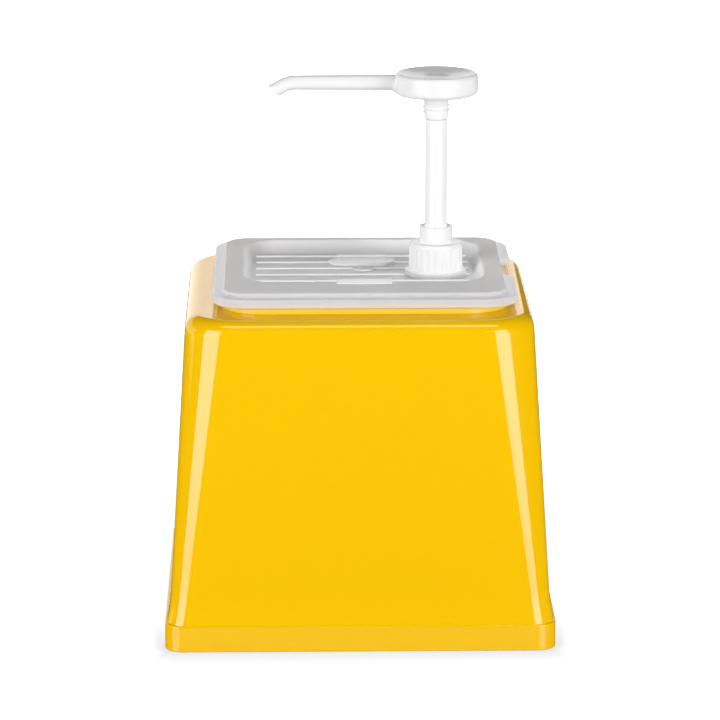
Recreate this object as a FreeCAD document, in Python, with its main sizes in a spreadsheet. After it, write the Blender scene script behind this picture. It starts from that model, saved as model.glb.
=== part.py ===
import FreeCAD, Part
import math
import os
import re
import Sketcher
from FreeCAD import Vector

# A counter-top dispenser for sauce. Lengths are millimetres, +Z is up and the origin is the middle of
# the casing's footprint on the table. A tapered casing holds a gastronorm 1/6 container by its flange.
# The lid sits on that flange, and a hand pump is screwed to the lid's neck. The pump stands to the
# right (+X) and its spout points to the left (-X). The front is -Y.

doc = FreeCAD.newDocument("SaucePumpDispenser")
sheet = doc.addObject("Spreadsheet::Sheet", "Sizes")

SIZES = [
    # casing
    ("plinth_width", 226.0),
    ("plinth_depth", 212.0),
    ("plinth_height", 15.5),
    ("plinth_step", 0.8),
    ("plinth_corner", 10.5),
    ("plinth_edge", 0.6),
    ("flare_height", 18.6),
    ("flare_width", 1.75),
    ("case_height", 192.7),
    ("case_top_width", 200.1),
    ("case_top_depth", 191.0),
    ("case_top_corner", 26.5),
    ("case_top_round", 8.7),
    ("case_wall", 3.0),
    ("lip_height", 3.6),
    ("lip_wall", 2.5),
    ("mouth_width", 160.0),
    ("mouth_depth", 146.0),
    ("mouth_corner", 22.0),
    # container: gastronorm 1/6, 150 mm deep
    ("pan_shift_x", 3.3),
    ("pan_shift_y", 1.4),
    ("flange_width", 172.0),
    ("flange_depth", 158.0),
    ("flange_corner", 18.0),
    ("flange_thickness", 3.0),
    ("pan_width", 152.8),
    ("pan_depth", 138.8),
    ("pan_corner", 22.0),
    ("pan_height", 147.0),
    ("pan_draft", 0.042),
    ("pan_wall", 2.0),
    ("pan_bottom_round", 11.0),
    # lid
    ("lid_width", 176.0),
    ("lid_depth", 162.0),
    ("lid_corner", 20.0),
    ("lid_wall", 1.6),
    ("skirt_drop", 1.9),
    ("rim_height", 3.1),
    ("rim_width", 6.5),
    ("plateau_height", 5.75),
    ("lid_edge", 1.0),
    ("recess_width", 140.0),
    ("recess_depth", 114.4),
    ("recess_centre_y", 10.8),
    ("recess_corner", 21.0),
    ("recess_drop", 8.0),
    ("recess_draft", 4.3),
    ("recess_edge", 1.2),
    ("rib_length", 127.0),
    ("rib_width", 1.4),
    ("rib_height", 1.0),
    ("rib_pitch", 16.6),
    ("rib_count", 6.0),
    ("last_rib_y", 56.1),
    ("plaque_width", 39.0),
    ("plaque_depth", 16.0),
    ("plaque_y", 39.6),
    ("plaque_height", 1.4),
    ("bar_length", 30.0),
    ("bar_width", 3.0),
    ("tab_width", 32.0),
    ("tab_depth", 5.0),
    ("tab_height", 0.4),
    ("arc_radius", 6.0),
    ("arc_x", 0.6),
    ("notch_length", 40.0),
    ("notch_centre_y", 2.6),
    ("notch_depth", 4.2),
    # pump, measured from the lid's centre and from the seat of the cap
    ("pump_x", 43.2),
    ("pump_y", 9.6),
    ("boss_radius", 18.4),
    ("boss_height", 3.1),
    ("neck_radius", 13.2),
    ("neck_height", 10.5),
    ("cap_radius", 15.9),
    ("cap_top_radius", 14.9),
    ("cap_height", 16.6),
    ("cap_top_thickness", 2.6),
    ("cap_band", 1.6),
    ("cap_bevel", 2.4),
    ("cap_clearance", 0.4),
    ("cap_rib_count", 24.0),
    ("cap_rib_width", 1.5),
    ("cap_groove_depth", 0.45),
    ("collar_radius", 9.7),
    ("collar_bore", 8.2),
    ("collar_height", 9.65),
    ("collar_seat", 1.5),
    ("guide_length", 6.0),
    ("collar_gap", 0.2),
    ("barrel_radius", 12.0),
    ("barrel_bore", 10.5),
    ("barrel_flange", 1.5),
    ("barrel_length", 104.0),
    ("barrel_cone", 7.0),
    ("intake_radius", 5.0),
    ("intake_bore", 3.5),
    ("intake_reach", 146.0),
    ("running_gap", 0.05),
    ("stem_radius", 6.45),
    ("stem_bore", 3.0),
    ("piston_length", 12.0),
    ("stop_gap", 0.5),
    ("spigot_radius", 5.5),
    ("spigot_length", 18.8),
    ("seat_gap", 0.3),
    # head, measured from the underside of its disc
    ("head_level", 105.1),
    ("disc_radius", 24.5),
    ("disc_height", 12.7),
    ("disc_round", 3.2),
    ("dish_radius", 21.6),
    ("dish_depth", 2.2),
    ("dimple_radius", 6.0),
    ("dimple_depth", 0.7),
    ("sleeve_length", 14.5),
    ("sleeve_radius", 7.2),
    ("sleeve_tip_radius", 6.85),
    ("spout_level", 7.0),
    ("spout_root", 18.4),
    ("spout_root_radius", 4.65),
    ("spout_radius", 4.25),
    ("spout_bore", 2.5),
    ("spout_straight", 82.5),
    ("spout_bend_radius", 16.0),
    ("spout_turn", 28.0),
    ("spout_end", 6.3),
    ("spout_cut", 20.0),
]

for row, (alias, number) in enumerate(SIZES, start=1):
    sheet.set("A%d" % row, alias)
    sheet.set("B%d" % row, str(number))
    sheet.setAlias("B%d" % row, alias)
doc.recompute()

ALIASES = {alias for alias, number in SIZES}
LEVEL_TOLERANCE = 0.01
FLARE_STEPS = 3


def length(expression):
    """The value of an expression written with the sheet's aliases."""
    return float(sheet.evalExpression(expression))


def linked(expression):
    """The same expression with every alias written as the sheet's cell."""
    return re.sub(r"[a-z_]+", lambda word: cell_of(word.group()), expression)


def cell_of(word):
    """The sheet's cell for an alias, or the word itself."""
    return "Sizes." + word if word in ALIASES else word


def new_body(label, place):
    """A body with its own label, placed by three expressions."""
    body = doc.addObject("PartDesign::Body", label)
    body.Label = label
    for axis, expression in zip("xyz", place):
        body.setExpression("Placement.Base." + axis, linked(expression))
    return body


def sketch_on(body, role, name, offset="0"):
    """A sketch on one of the body's origin planes, lifted off it by an expression."""
    plane = next(f for f in body.Origin.OriginFeatures if f.Role == role)
    sketch = body.newObject("Sketcher::SketchObject", name)
    sketch.AttachmentSupport = [(plane, "")]
    sketch.MapMode = "FlatFace"
    sketch.setExpression("AttachmentOffset.Base.z", linked(offset))
    return sketch


def bind(sketch, name, kind, items, expression):
    """A driving dimension that follows an expression."""
    sketch.addConstraint(Sketcher.Constraint(kind, *items, length(expression)))
    sketch.renameConstraint(sketch.ConstraintCount - 1, name)
    sketch.setExpression("Constraints." + name, linked(expression))


def place_point(sketch, name, point, x, y):
    """Fixes a point (geometry index, end) at two expressions from the sketch's origin."""
    for axis, expression, line in (("X", x, -2), ("Y", y, -1)):
        here = length(expression)
        if abs(here) < 1e-9:
            sketch.addConstraint(Sketcher.Constraint("PointOnObject", *point, line))
        elif here > 0:
            bind(sketch, name + axis, "Distance" + axis, (-1, 1, *point), expression)
        else:
            bind(sketch, name + axis, "Distance" + axis, (*point, -1, 1), "-(%s)" % expression)


def outline(sketch, points):
    """A closed outline of straight lines through points given as pairs of expressions."""
    corners = [Vector(length(x), length(y), 0) for x, y in points]
    count = len(corners)
    for i in range(count):
        sketch.addGeometry(Part.LineSegment(corners[i], corners[(i + 1) % count]), False)
    for i in range(count):
        sketch.addConstraint(Sketcher.Constraint("Coincident", i, 2, (i + 1) % count, 1))
    for i, (x, y) in enumerate(points):
        place_point(sketch, "corner%d" % i, (i, 1), x, y)


def rounded_rectangle(sketch, width, depth, corner, centre_x="0", centre_y="0"):
    """A rectangle with four equal round corners."""
    right = length("(%s) + (%s) / 2" % (centre_x, width))
    left = right - length(width)
    back = length("(%s) + (%s) / 2" % (centre_y, depth))
    front = back - length(depth)
    radius = length(corner)
    up = Vector(0, 0, 1)
    quarters = [
        ((right - radius, front + radius), 3),
        ((right - radius, back - radius), 0),
        ((left + radius, back - radius), 1),
        ((left + radius, front + radius), 2),
    ]
    sides = [
        ((left + radius, front), (right - radius, front)),
        ((right, front + radius), (right, back - radius)),
        ((right - radius, back), (left + radius, back)),
        ((left, back - radius), (left, front + radius)),
    ]
    for (start, end), (centre, turn) in zip(sides, quarters):
        sketch.addGeometry(Part.LineSegment(Vector(*start, 0), Vector(*end, 0)), False)
        circle = Part.Circle(Vector(*centre, 0), up, radius)
        arc = Part.ArcOfCircle(circle, turn * math.pi / 2, (turn + 1) * math.pi / 2)
        sketch.addGeometry(arc, False)
    for i in range(8):
        sketch.addConstraint(Sketcher.Constraint("Tangent", i, 2, (i + 1) % 8, 1))
    sketch.addConstraint(Sketcher.Constraint("Horizontal", 0))
    sketch.addConstraint(Sketcher.Constraint("Vertical", 2))
    sketch.addConstraint(Sketcher.Constraint("Horizontal", 4))
    sketch.addConstraint(Sketcher.Constraint("Vertical", 6))
    for arc in (3, 5, 7):
        sketch.addConstraint(Sketcher.Constraint("Equal", 1, arc))
    bind(sketch, "corner", "Radius", (1,), corner)
    bind(sketch, "width", "DistanceX", (6, 1, 2, 1), width)
    bind(sketch, "depth", "DistanceY", (0, 1, 4, 1), depth)
    bind(sketch, "left", "DistanceX", (6, 1, -1, 1), "(%s) / 2 - (%s)" % (width, centre_x))
    bind(sketch, "front", "DistanceY", (0, 1, -1, 1), "(%s) / 2 - (%s)" % (depth, centre_y))


def circle(sketch, radius, centre_x="0", centre_y="0"):
    """A full circle."""
    centre = Vector(length(centre_x), length(centre_y), 0)
    sketch.addGeometry(Part.Circle(centre, Vector(0, 0, 1), length(radius)), False)
    place_point(sketch, "centre", (0, 3), centre_x, centre_y)
    bind(sketch, "radius", "Radius", (0,), radius)


def half_ring(sketch, outer, inner, centre_x, centre_y):
    """A flat ring's front half."""
    centre = Vector(length(centre_x), length(centre_y), 0)
    up = Vector(0, 0, 1)
    arcs = [Part.ArcOfCircle(Part.Circle(centre, up, length(size)), math.pi, 2 * math.pi)
            for size in (outer, inner)]
    for arc in arcs:
        sketch.addGeometry(arc, False)
    for end in (arcs[0].EndPoint, arcs[1].EndPoint), (arcs[1].StartPoint, arcs[0].StartPoint):
        sketch.addGeometry(Part.LineSegment(*end), False)
    for first, second in (((0, 2), (2, 1)), ((2, 2), (1, 2)), ((1, 1), (3, 1)), ((3, 2), (0, 1))):
        sketch.addConstraint(Sketcher.Constraint("Coincident", *first, *second))
    sketch.addConstraint(Sketcher.Constraint("Coincident", 0, 3, 1, 3))
    sketch.addConstraint(Sketcher.Constraint("Horizontal", 0, 3, 2, 1))
    sketch.addConstraint(Sketcher.Constraint("Horizontal", 0, 3, 3, 1))
    sketch.addConstraint(Sketcher.Constraint("Horizontal", 0, 3, 2, 2))
    sketch.addConstraint(Sketcher.Constraint("Horizontal", 0, 3, 3, 2))
    place_point(sketch, "centre", (0, 3), centre_x, centre_y)
    bind(sketch, "outer", "Radius", (0,), outer)
    bind(sketch, "inner", "Radius", (1,), inner)


def prism(body, kind, sketch, height, downward=False):
    """A Pad or a Pocket of a sketch."""
    feature = body.newObject("PartDesign::" + kind, sketch.Name + kind)
    feature.Profile = sketch
    feature.setExpression("Length", linked(height))
    feature.Reversed = downward if kind == "Pad" else not downward
    return feature


def loft(body, kind, first, *others):
    """An AdditiveLoft or a SubtractiveLoft through two or more sketches."""
    feature = body.newObject("PartDesign::" + kind, first.Name + "Loft")
    feature.Profile = first
    feature.Sections = list(others)
    feature.Ruled = True
    return feature


def turned(body, kind, sketch):
    """A Revolution or a Groove of a sketch about its own vertical axis."""
    feature = body.newObject("PartDesign::" + kind, sketch.Name + kind)
    feature.Profile = sketch
    feature.ReferenceAxis = (sketch, ["V_Axis"])
    feature.Angle = 360.0
    return feature


def level_edges(feature, level, keep=lambda edge: True):
    """Names of the edges that lie flat at one level of the body, as a fillet's Base wants them."""
    doc.recompute()
    z = length(level)
    names = []
    for index, edge in enumerate(feature.Shape.Edges, start=1):
        box = edge.BoundBox
        if abs(box.ZMin - z) < LEVEL_TOLERANCE and abs(box.ZMax - z) < LEVEL_TOLERANCE and keep(edge):
            names.append("Edge%d" % index)
    return names


def rounded(body, feature, edges, radius):
    """A fillet on named edges of the body's last feature."""
    fillet = body.newObject("PartDesign::Fillet", feature.Name + "Round")
    fillet.Base = (feature, edges)
    fillet.setExpression("Radius", linked(radius))
    return fillet


def make_casing():
    """Moulded shell, open below: a plinth band, tapered walls and a flat top with the container's mouth.

    The walls flare out to meet the plinth. Their corners are slender at the foot and wide at the top,
    where a soft edge runs round. An upstanding lip round the mouth carries the container's flange."""
    body = new_body("casing", ("0", "0", "0"))
    rise = "(case_height - plinth_height)"
    wide = "(plinth_width - 2 * plinth_step - 2 * flare_width)"
    deep = "(plinth_depth - 2 * plinth_step - 2 * flare_width)"

    def wall_section(name, level, inset="0"):
        """The walls' outline at a level, drawn in by an inset all round."""
        share = "((%s - plinth_height) / %s)" % (level, rise)
        section = sketch_on(body, "XY_Plane", name, level)
        rounded_rectangle(
            section,
            "%s + (case_top_width - %s) * %s - 2 * (%s)" % (wide, wide, share, inset),
            "%s + (case_top_depth - %s) * %s - 2 * (%s)" % (deep, deep, share, inset),
            "plinth_corner + (case_top_corner - plinth_corner) * %s - (%s)" % (share, inset))
        return section

    plinth = sketch_on(body, "XY_Plane", "CasePlinth")
    rounded_rectangle(plinth, "plinth_width", "plinth_depth", "plinth_corner")
    prism(body, "Pad", plinth, "plinth_height")

    sections = []
    for step in range(FLARE_STEPS):
        share = "%d / %d" % (step, FLARE_STEPS)
        level = "(plinth_height + flare_height * %s)" % share
        sections.append(wall_section("CaseFlare%d" % step, level, "-flare_width * (1 - %s) ^ 2" % share))
    sections.append(wall_section("CaseWallFoot", "(plinth_height + flare_height)"))
    sections.append(wall_section("CaseCrown", "case_height"))
    walls = loft(body, "AdditiveLoft", *sections)

    top = rounded(body, walls, level_edges(walls, "case_height"), "case_top_round")
    outer_edge = level_edges(top, "plinth_height", lambda edge: outside_walls(edge))
    rounded(body, top, outer_edge, "plinth_edge")

    floor = wall_section("CaseHollowFoot", "0", "case_wall")
    ceiling = wall_section("CaseHollowCeiling", "(case_height - case_wall)", "case_wall")
    loft(body, "SubtractiveLoft", floor, ceiling)

    lip = sketch_on(body, "XY_Plane", "CaseLip", "case_height - case_wall / 2")
    rounded_rectangle(lip, "mouth_width + 2 * lip_wall", "mouth_depth + 2 * lip_wall",
                      "mouth_corner + lip_wall")
    prism(body, "Pad", lip, "case_wall / 2 + lip_height")
    mouth = sketch_on(body, "XY_Plane", "CaseMouth", "case_height + lip_height")
    rounded_rectangle(mouth, "mouth_width", "mouth_depth", "mouth_corner")
    prism(body, "Pocket", mouth, "lip_height + 2 * case_wall", downward=True)
    return body


def outside_walls(edge):
    """True on the plinth's outer outline, outside the foot of the walls."""
    limit_x = length("plinth_width / 2 - plinth_corner")
    limit_y = length("plinth_depth / 2 - plinth_corner")
    middle = edge.valueAt((edge.FirstParameter + edge.LastParameter) / 2)
    beyond_x = max(abs(middle.x) - limit_x, 0)
    beyond_y = max(abs(middle.y) - limit_y, 0)
    return math.hypot(beyond_x, beyond_y) > length("plinth_corner - plinth_step / 2")


def make_container():
    """The food pan: a tapered bucket with round corners that hangs by a flat flange."""
    body = new_body("container", ("pan_shift_x", "pan_shift_y", "case_height + lip_height"))

    flange = sketch_on(body, "XY_Plane", "PanFlange")
    rounded_rectangle(flange, "flange_width", "flange_depth", "flange_corner")
    prism(body, "Pad", flange, "flange_thickness")

    shoulder = sketch_on(body, "XY_Plane", "PanShoulder")
    rounded_rectangle(shoulder, "pan_width", "pan_depth", "pan_corner")
    bottom = sketch_on(body, "XY_Plane", "PanBottom", "-pan_height")
    taper = " - 2 * pan_draft * pan_height"
    rounded_rectangle(bottom, "pan_width" + taper, "pan_depth" + taper, "pan_corner - 2")
    loft(body, "AdditiveLoft", shoulder, bottom)

    inside = " - 2 * pan_wall"
    mouth = sketch_on(body, "XY_Plane", "PanMouth", "flange_thickness")
    widening = " + 2 * pan_draft * flange_thickness"
    rounded_rectangle(mouth, "pan_width" + widening + inside, "pan_depth" + widening + inside,
                      "pan_corner - pan_wall")
    floor = sketch_on(body, "XY_Plane", "PanFloor", "pan_wall - pan_height")
    taper = " - 2 * pan_draft * (pan_height - pan_wall)"
    rounded_rectangle(floor, "pan_width" + taper + inside, "pan_depth" + taper + inside,
                      "pan_corner - pan_wall - 2")
    hollow = loft(body, "SubtractiveLoft", mouth, floor)
    inner_edges = level_edges(hollow, "pan_wall - pan_height")
    bowl = rounded(body, hollow, inner_edges, "pan_bottom_round - pan_wall")
    rounded(body, bowl, level_edges(bowl, "-pan_height"), "pan_bottom_round")
    return body


def make_lid():
    """Thin moulded lid: a skirted rim, a raised plateau and a recess with ribs and the pump's neck."""
    lid_level = "case_height + lip_height + flange_thickness"
    body = new_body("lid", ("pan_shift_x", "pan_shift_y", lid_level))
    top = "plateau_height"
    floor = "(plateau_height - recess_drop)"
    plateau_wide = "(lid_width - 2 * rim_width)"
    plateau_deep = "(lid_depth - 2 * rim_width)"

    rim = sketch_on(body, "XY_Plane", "LidRim", "-skirt_drop")
    rounded_rectangle(rim, "lid_width", "lid_depth", "lid_corner")
    prism(body, "Pad", rim, "skirt_drop + rim_height")
    plateau = sketch_on(body, "XY_Plane", "LidPlateau")
    rounded_rectangle(plateau, plateau_wide, plateau_deep, "lid_corner - rim_width")
    raised = prism(body, "Pad", plateau, top)
    edges = level_edges(raised, top) + level_edges(raised, "rim_height", lambda e: outside_plateau(e))
    rounded(body, raised, edges, "lid_edge")

    under = sketch_on(body, "XY_Plane", "LidSkirtHollow", "-skirt_drop")
    rounded_rectangle(under, "lid_width - 2 * lid_wall", "lid_depth - 2 * lid_wall",
                      "lid_corner - lid_wall")
    prism(body, "Pocket", under, "skirt_drop")
    cavity = sketch_on(body, "XY_Plane", "LidPlateauHollow")
    rounded_rectangle(cavity, plateau_wide + " - 2 * lid_wall", plateau_deep + " - 2 * lid_wall",
                      "lid_corner - rim_width - lid_wall")
    prism(body, "Pocket", cavity, "plateau_height - lid_wall")

    well_top = sketch_on(body, "XY_Plane", "LidWellTop", "plateau_height - lid_wall")
    slope = "recess_draft / recess_drop"
    at_ceiling = " + 2 * lid_wall - 2 * lid_wall * " + slope
    rounded_rectangle(well_top, "recess_width" + at_ceiling, "recess_depth" + at_ceiling,
                      "recess_corner + lid_wall", centre_y="recess_centre_y")
    well_bottom = sketch_on(body, "XY_Plane", "LidWellBottom", floor + " - lid_wall")
    at_floor = " + 2 * lid_wall - 2 * recess_draft"
    rounded_rectangle(well_bottom, "recess_width" + at_floor, "recess_depth" + at_floor,
                      "recess_corner - recess_draft + lid_wall", centre_y="recess_centre_y")
    loft(body, "AdditiveLoft", well_top, well_bottom)

    mouth = sketch_on(body, "XY_Plane", "LidRecessTop", top)
    rounded_rectangle(mouth, "recess_width", "recess_depth", "recess_corner", centre_y="recess_centre_y")
    base = sketch_on(body, "XY_Plane", "LidRecessFloor", floor)
    rounded_rectangle(base, "recess_width - 2 * recess_draft", "recess_depth - 2 * recess_draft",
                      "recess_corner - recess_draft", centre_y="recess_centre_y")
    recess = loft(body, "SubtractiveLoft", mouth, base)
    edges = level_edges(recess, top, lambda e: not on_plateau_edge(e))
    rounded(body, recess, edges, "recess_edge")

    rib = sketch_on(body, "XY_Plane", "LidRib", floor)
    outline(rib, [
        ("-rib_length / 2", "last_rib_y - rib_width / 2"),
        ("rib_length / 2", "last_rib_y - rib_width / 2"),
        ("rib_length / 2", "last_rib_y + rib_width / 2"),
        ("-rib_length / 2", "last_rib_y + rib_width / 2"),
    ])
    first_rib = prism(body, "Pad", rib, "rib_height")
    ribs = body.newObject("PartDesign::LinearPattern", "LidRibs")
    ribs.Originals = [first_rib]
    ribs.Direction = (rib, ["V_Axis"])
    ribs.Reversed = True
    ribs.setExpression("Length", linked("rib_pitch * (rib_count - 1)"))
    ribs.setExpression("Occurrences", linked("rib_count"))
    body.Tip = ribs

    plaque = sketch_on(body, "XY_Plane", "LidPlaque", floor)
    rounded_rectangle(plaque, "plaque_width", "plaque_depth", "plaque_depth / 2 - 0.01",
                      centre_y="plaque_y")
    prism(body, "Pad", plaque, "plaque_height")
    bar = sketch_on(body, "XY_Plane", "LidBar", floor)
    rounded_rectangle(bar, "bar_length", "bar_width", "bar_width / 2 - 0.01", centre_y="last_rib_y")
    prism(body, "Pad", bar, "plaque_height")

    arc_y = "(last_rib_y - 2 * rib_pitch)"
    gap = sketch_on(body, "XY_Plane", "LidRibGap", floor + " + rib_height")
    outline(gap, [
        ("arc_x - arc_radius", arc_y + " - rib_width"),
        ("arc_x + arc_radius", arc_y + " - rib_width"),
        ("arc_x + arc_radius", arc_y + " + rib_width"),
        ("arc_x - arc_radius", arc_y + " + rib_width"),
    ])
    prism(body, "Pocket", gap, "rib_height", downward=True)
    bow = sketch_on(body, "XY_Plane", "LidRibArc", floor)
    half_ring(bow, "arc_radius + rib_width / 2", "arc_radius - rib_width / 2", "arc_x", arc_y)
    prism(body, "Pad", bow, "rib_height")

    tab = sketch_on(body, "XY_Plane", "LidTab", "plateau_height - lid_wall / 2")
    rounded_rectangle(tab, "tab_width", "2 * tab_depth", "tab_depth / 3",
                      centre_y="recess_centre_y - recess_depth / 2")
    prism(body, "Pad", tab, "lid_wall / 2 + tab_height")

    boss = sketch_on(body, "XY_Plane", "LidBoss", floor)
    circle(boss, "boss_radius", "pump_x", "pump_y")
    prism(body, "Pad", boss, "boss_height")
    neck = sketch_on(body, "XY_Plane", "LidNeck", floor)
    circle(neck, "neck_radius", "pump_x", "pump_y")
    prism(body, "Pad", neck, "boss_height + neck_height")
    bore = sketch_on(body, "XY_Plane", "LidBore", floor + " - 2 * lid_wall")
    circle(bore, "barrel_radius + collar_gap", "pump_x", "pump_y")
    prism(body, "Pocket", bore, "boss_height + neck_height + 4 * lid_wall")

    notch = sketch_on(body, "XY_Plane", "LidNotch", "-2 * skirt_drop")
    half = "notch_length / 2"
    inner = "lid_width / 2 - notch_depth"
    outer = "lid_width / 2 + notch_depth"
    outline(notch, [
        (inner, "notch_centre_y - " + half),
        (outer, "notch_centre_y - " + half),
        (outer, "notch_centre_y + " + half),
        (inner, "notch_centre_y + " + half),
    ])
    prism(body, "Pocket", notch, "2 * skirt_drop + 2 * rim_height")
    return body


def outside_plateau(edge):
    """True on the lid's outer outline."""
    box = edge.BoundBox
    limit_x = length("lid_width / 2 - rim_width / 2 - lid_corner")
    limit_y = length("lid_depth / 2 - rim_width / 2 - lid_corner")
    middle = edge.valueAt((edge.FirstParameter + edge.LastParameter) / 2)
    beyond_x = max(abs(middle.x) - limit_x, 0)
    beyond_y = max(abs(middle.y) - limit_y, 0)
    return math.hypot(beyond_x, beyond_y) > length("lid_corner - rim_width / 4") - LEVEL_TOLERANCE


def on_plateau_edge(edge):
    """True on the outer outline of the plateau's flat top."""
    middle = edge.valueAt((edge.FirstParameter + edge.LastParameter) / 2)
    if abs(middle.x) > length("recess_width / 2 + 1.5"):
        return True
    return abs(middle.y - length("recess_centre_y")) > length("recess_depth / 2 + 1.5")


def make_screw_cap():
    """Closure with upright grip ribs between a plain foot band and a bevelled top."""
    body = new_body("screw_cap", PUMP_PLACE)
    inner = "neck_radius + cap_clearance"
    profile = sketch_on(body, "XZ_Plane", "CapProfile")
    outline(profile, [
        (inner, "0"),
        ("cap_radius", "0"),
        ("cap_radius - 0.2", "cap_height - cap_bevel"),
        ("cap_top_radius", "cap_height"),
        ("collar_radius + collar_gap", "cap_height"),
        ("collar_radius + collar_gap", "cap_height - cap_top_thickness"),
        (inner, "cap_height - cap_top_thickness"),
    ])
    turned(body, "Revolution", profile)

    groove = sketch_on(body, "XY_Plane", "CapGroove", "cap_band")
    half = "(pi * cap_radius / cap_rib_count - cap_rib_width / 2)"
    outline(groove, [
        ("cap_radius - cap_groove_depth", "-" + half + " + cap_groove_depth"),
        ("cap_radius + 1", "-" + half),
        ("cap_radius + 1", half),
        ("cap_radius - cap_groove_depth", half + " - cap_groove_depth"),
    ])
    cut = prism(body, "Pocket", groove, "cap_height - cap_band - cap_bevel")
    ring = body.newObject("PartDesign::PolarPattern", "CapGrooves")
    ring.Originals = [cut]
    ring.Axis = (groove, ["N_Axis"])
    ring.Angle = 360.0
    ring.setExpression("Occurrences", linked("cap_rib_count"))
    body.Tip = ring
    return body


def make_lock_collar():
    """Plain ring that the sleeve of the head locks into."""
    body = new_body("lock_collar", PUMP_PLACE)
    seat = "(neck_height + barrel_flange - collar_seat)"
    profile = sketch_on(body, "XZ_Plane", "CollarProfile")
    outline(profile, [
        ("collar_bore", seat),
        ("collar_radius", seat),
        ("collar_radius", "cap_height + collar_height"),
        ("collar_bore", "cap_height + collar_height"),
    ])
    turned(body, "Revolution", profile)
    return body


def make_stem_guide():
    """Bush that the cap clamps to the neck. Its plug keeps the stem upright, its flange holds the collar."""
    body = new_body("stem_guide", PUMP_PLACE)
    flange = "(neck_height + barrel_flange)"
    under_cap = "(cap_height - cap_top_thickness)"
    seat = "(neck_height + barrel_flange - collar_seat)"
    profile = sketch_on(body, "XZ_Plane", "GuideProfile")
    outline(profile, [
        ("stem_radius + running_gap", seat + " - guide_length"),
        ("barrel_bore - running_gap", seat + " - guide_length"),
        ("barrel_bore - running_gap", flange),
        ("neck_radius", flange),
        ("neck_radius", under_cap),
        ("collar_radius + running_gap", under_cap),
        ("collar_radius + running_gap", seat),
        ("stem_radius + running_gap", seat),
    ])
    turned(body, "Revolution", profile)
    return body


def make_barrel():
    """Pump cylinder that hangs from the neck by its flange and narrows to the intake tube."""
    body = new_body("pump_barrel", PUMP_PLACE)
    top = "(neck_height + barrel_flange)"
    wall = "(barrel_radius - barrel_bore)"
    low = "(%s - barrel_length)" % top
    profile = sketch_on(body, "XZ_Plane", "BarrelProfile")
    outline(profile, [
        ("barrel_bore", top),
        ("neck_radius", top),
        ("neck_radius", "neck_height"),
        ("barrel_radius", "neck_height"),
        ("barrel_radius", low),
        ("intake_radius", low + " - barrel_cone"),
        ("intake_radius", "-intake_reach"),
        ("intake_bore", "-intake_reach"),
        ("intake_bore", low + " - barrel_cone + " + wall),
        ("barrel_bore", low + " + " + wall),
    ])
    turned(body, "Revolution", profile)
    return body


def make_stem():
    """Hollow plunger rod with its piston below and the head's spigot on top."""
    body = new_body("stem", PUMP_PLACE)
    guide_foot = "(neck_height + barrel_flange - collar_seat - guide_length)"
    piston_top = "(%s - stop_gap)" % guide_foot
    shoulder = "(head_level - sleeve_length - seat_gap)"
    profile = sketch_on(body, "XZ_Plane", "StemProfile")
    outline(profile, [
        ("stem_bore", piston_top + " - piston_length"),
        ("barrel_bore - running_gap", piston_top + " - piston_length"),
        ("barrel_bore - running_gap", piston_top),
        ("stem_radius", piston_top),
        ("stem_radius", shoulder),
        ("spigot_radius", shoulder),
        ("spigot_radius", shoulder + " + spigot_length"),
        ("stem_bore", shoulder + " + spigot_length"),
    ])
    turned(body, "Revolution", profile)
    return body


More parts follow.
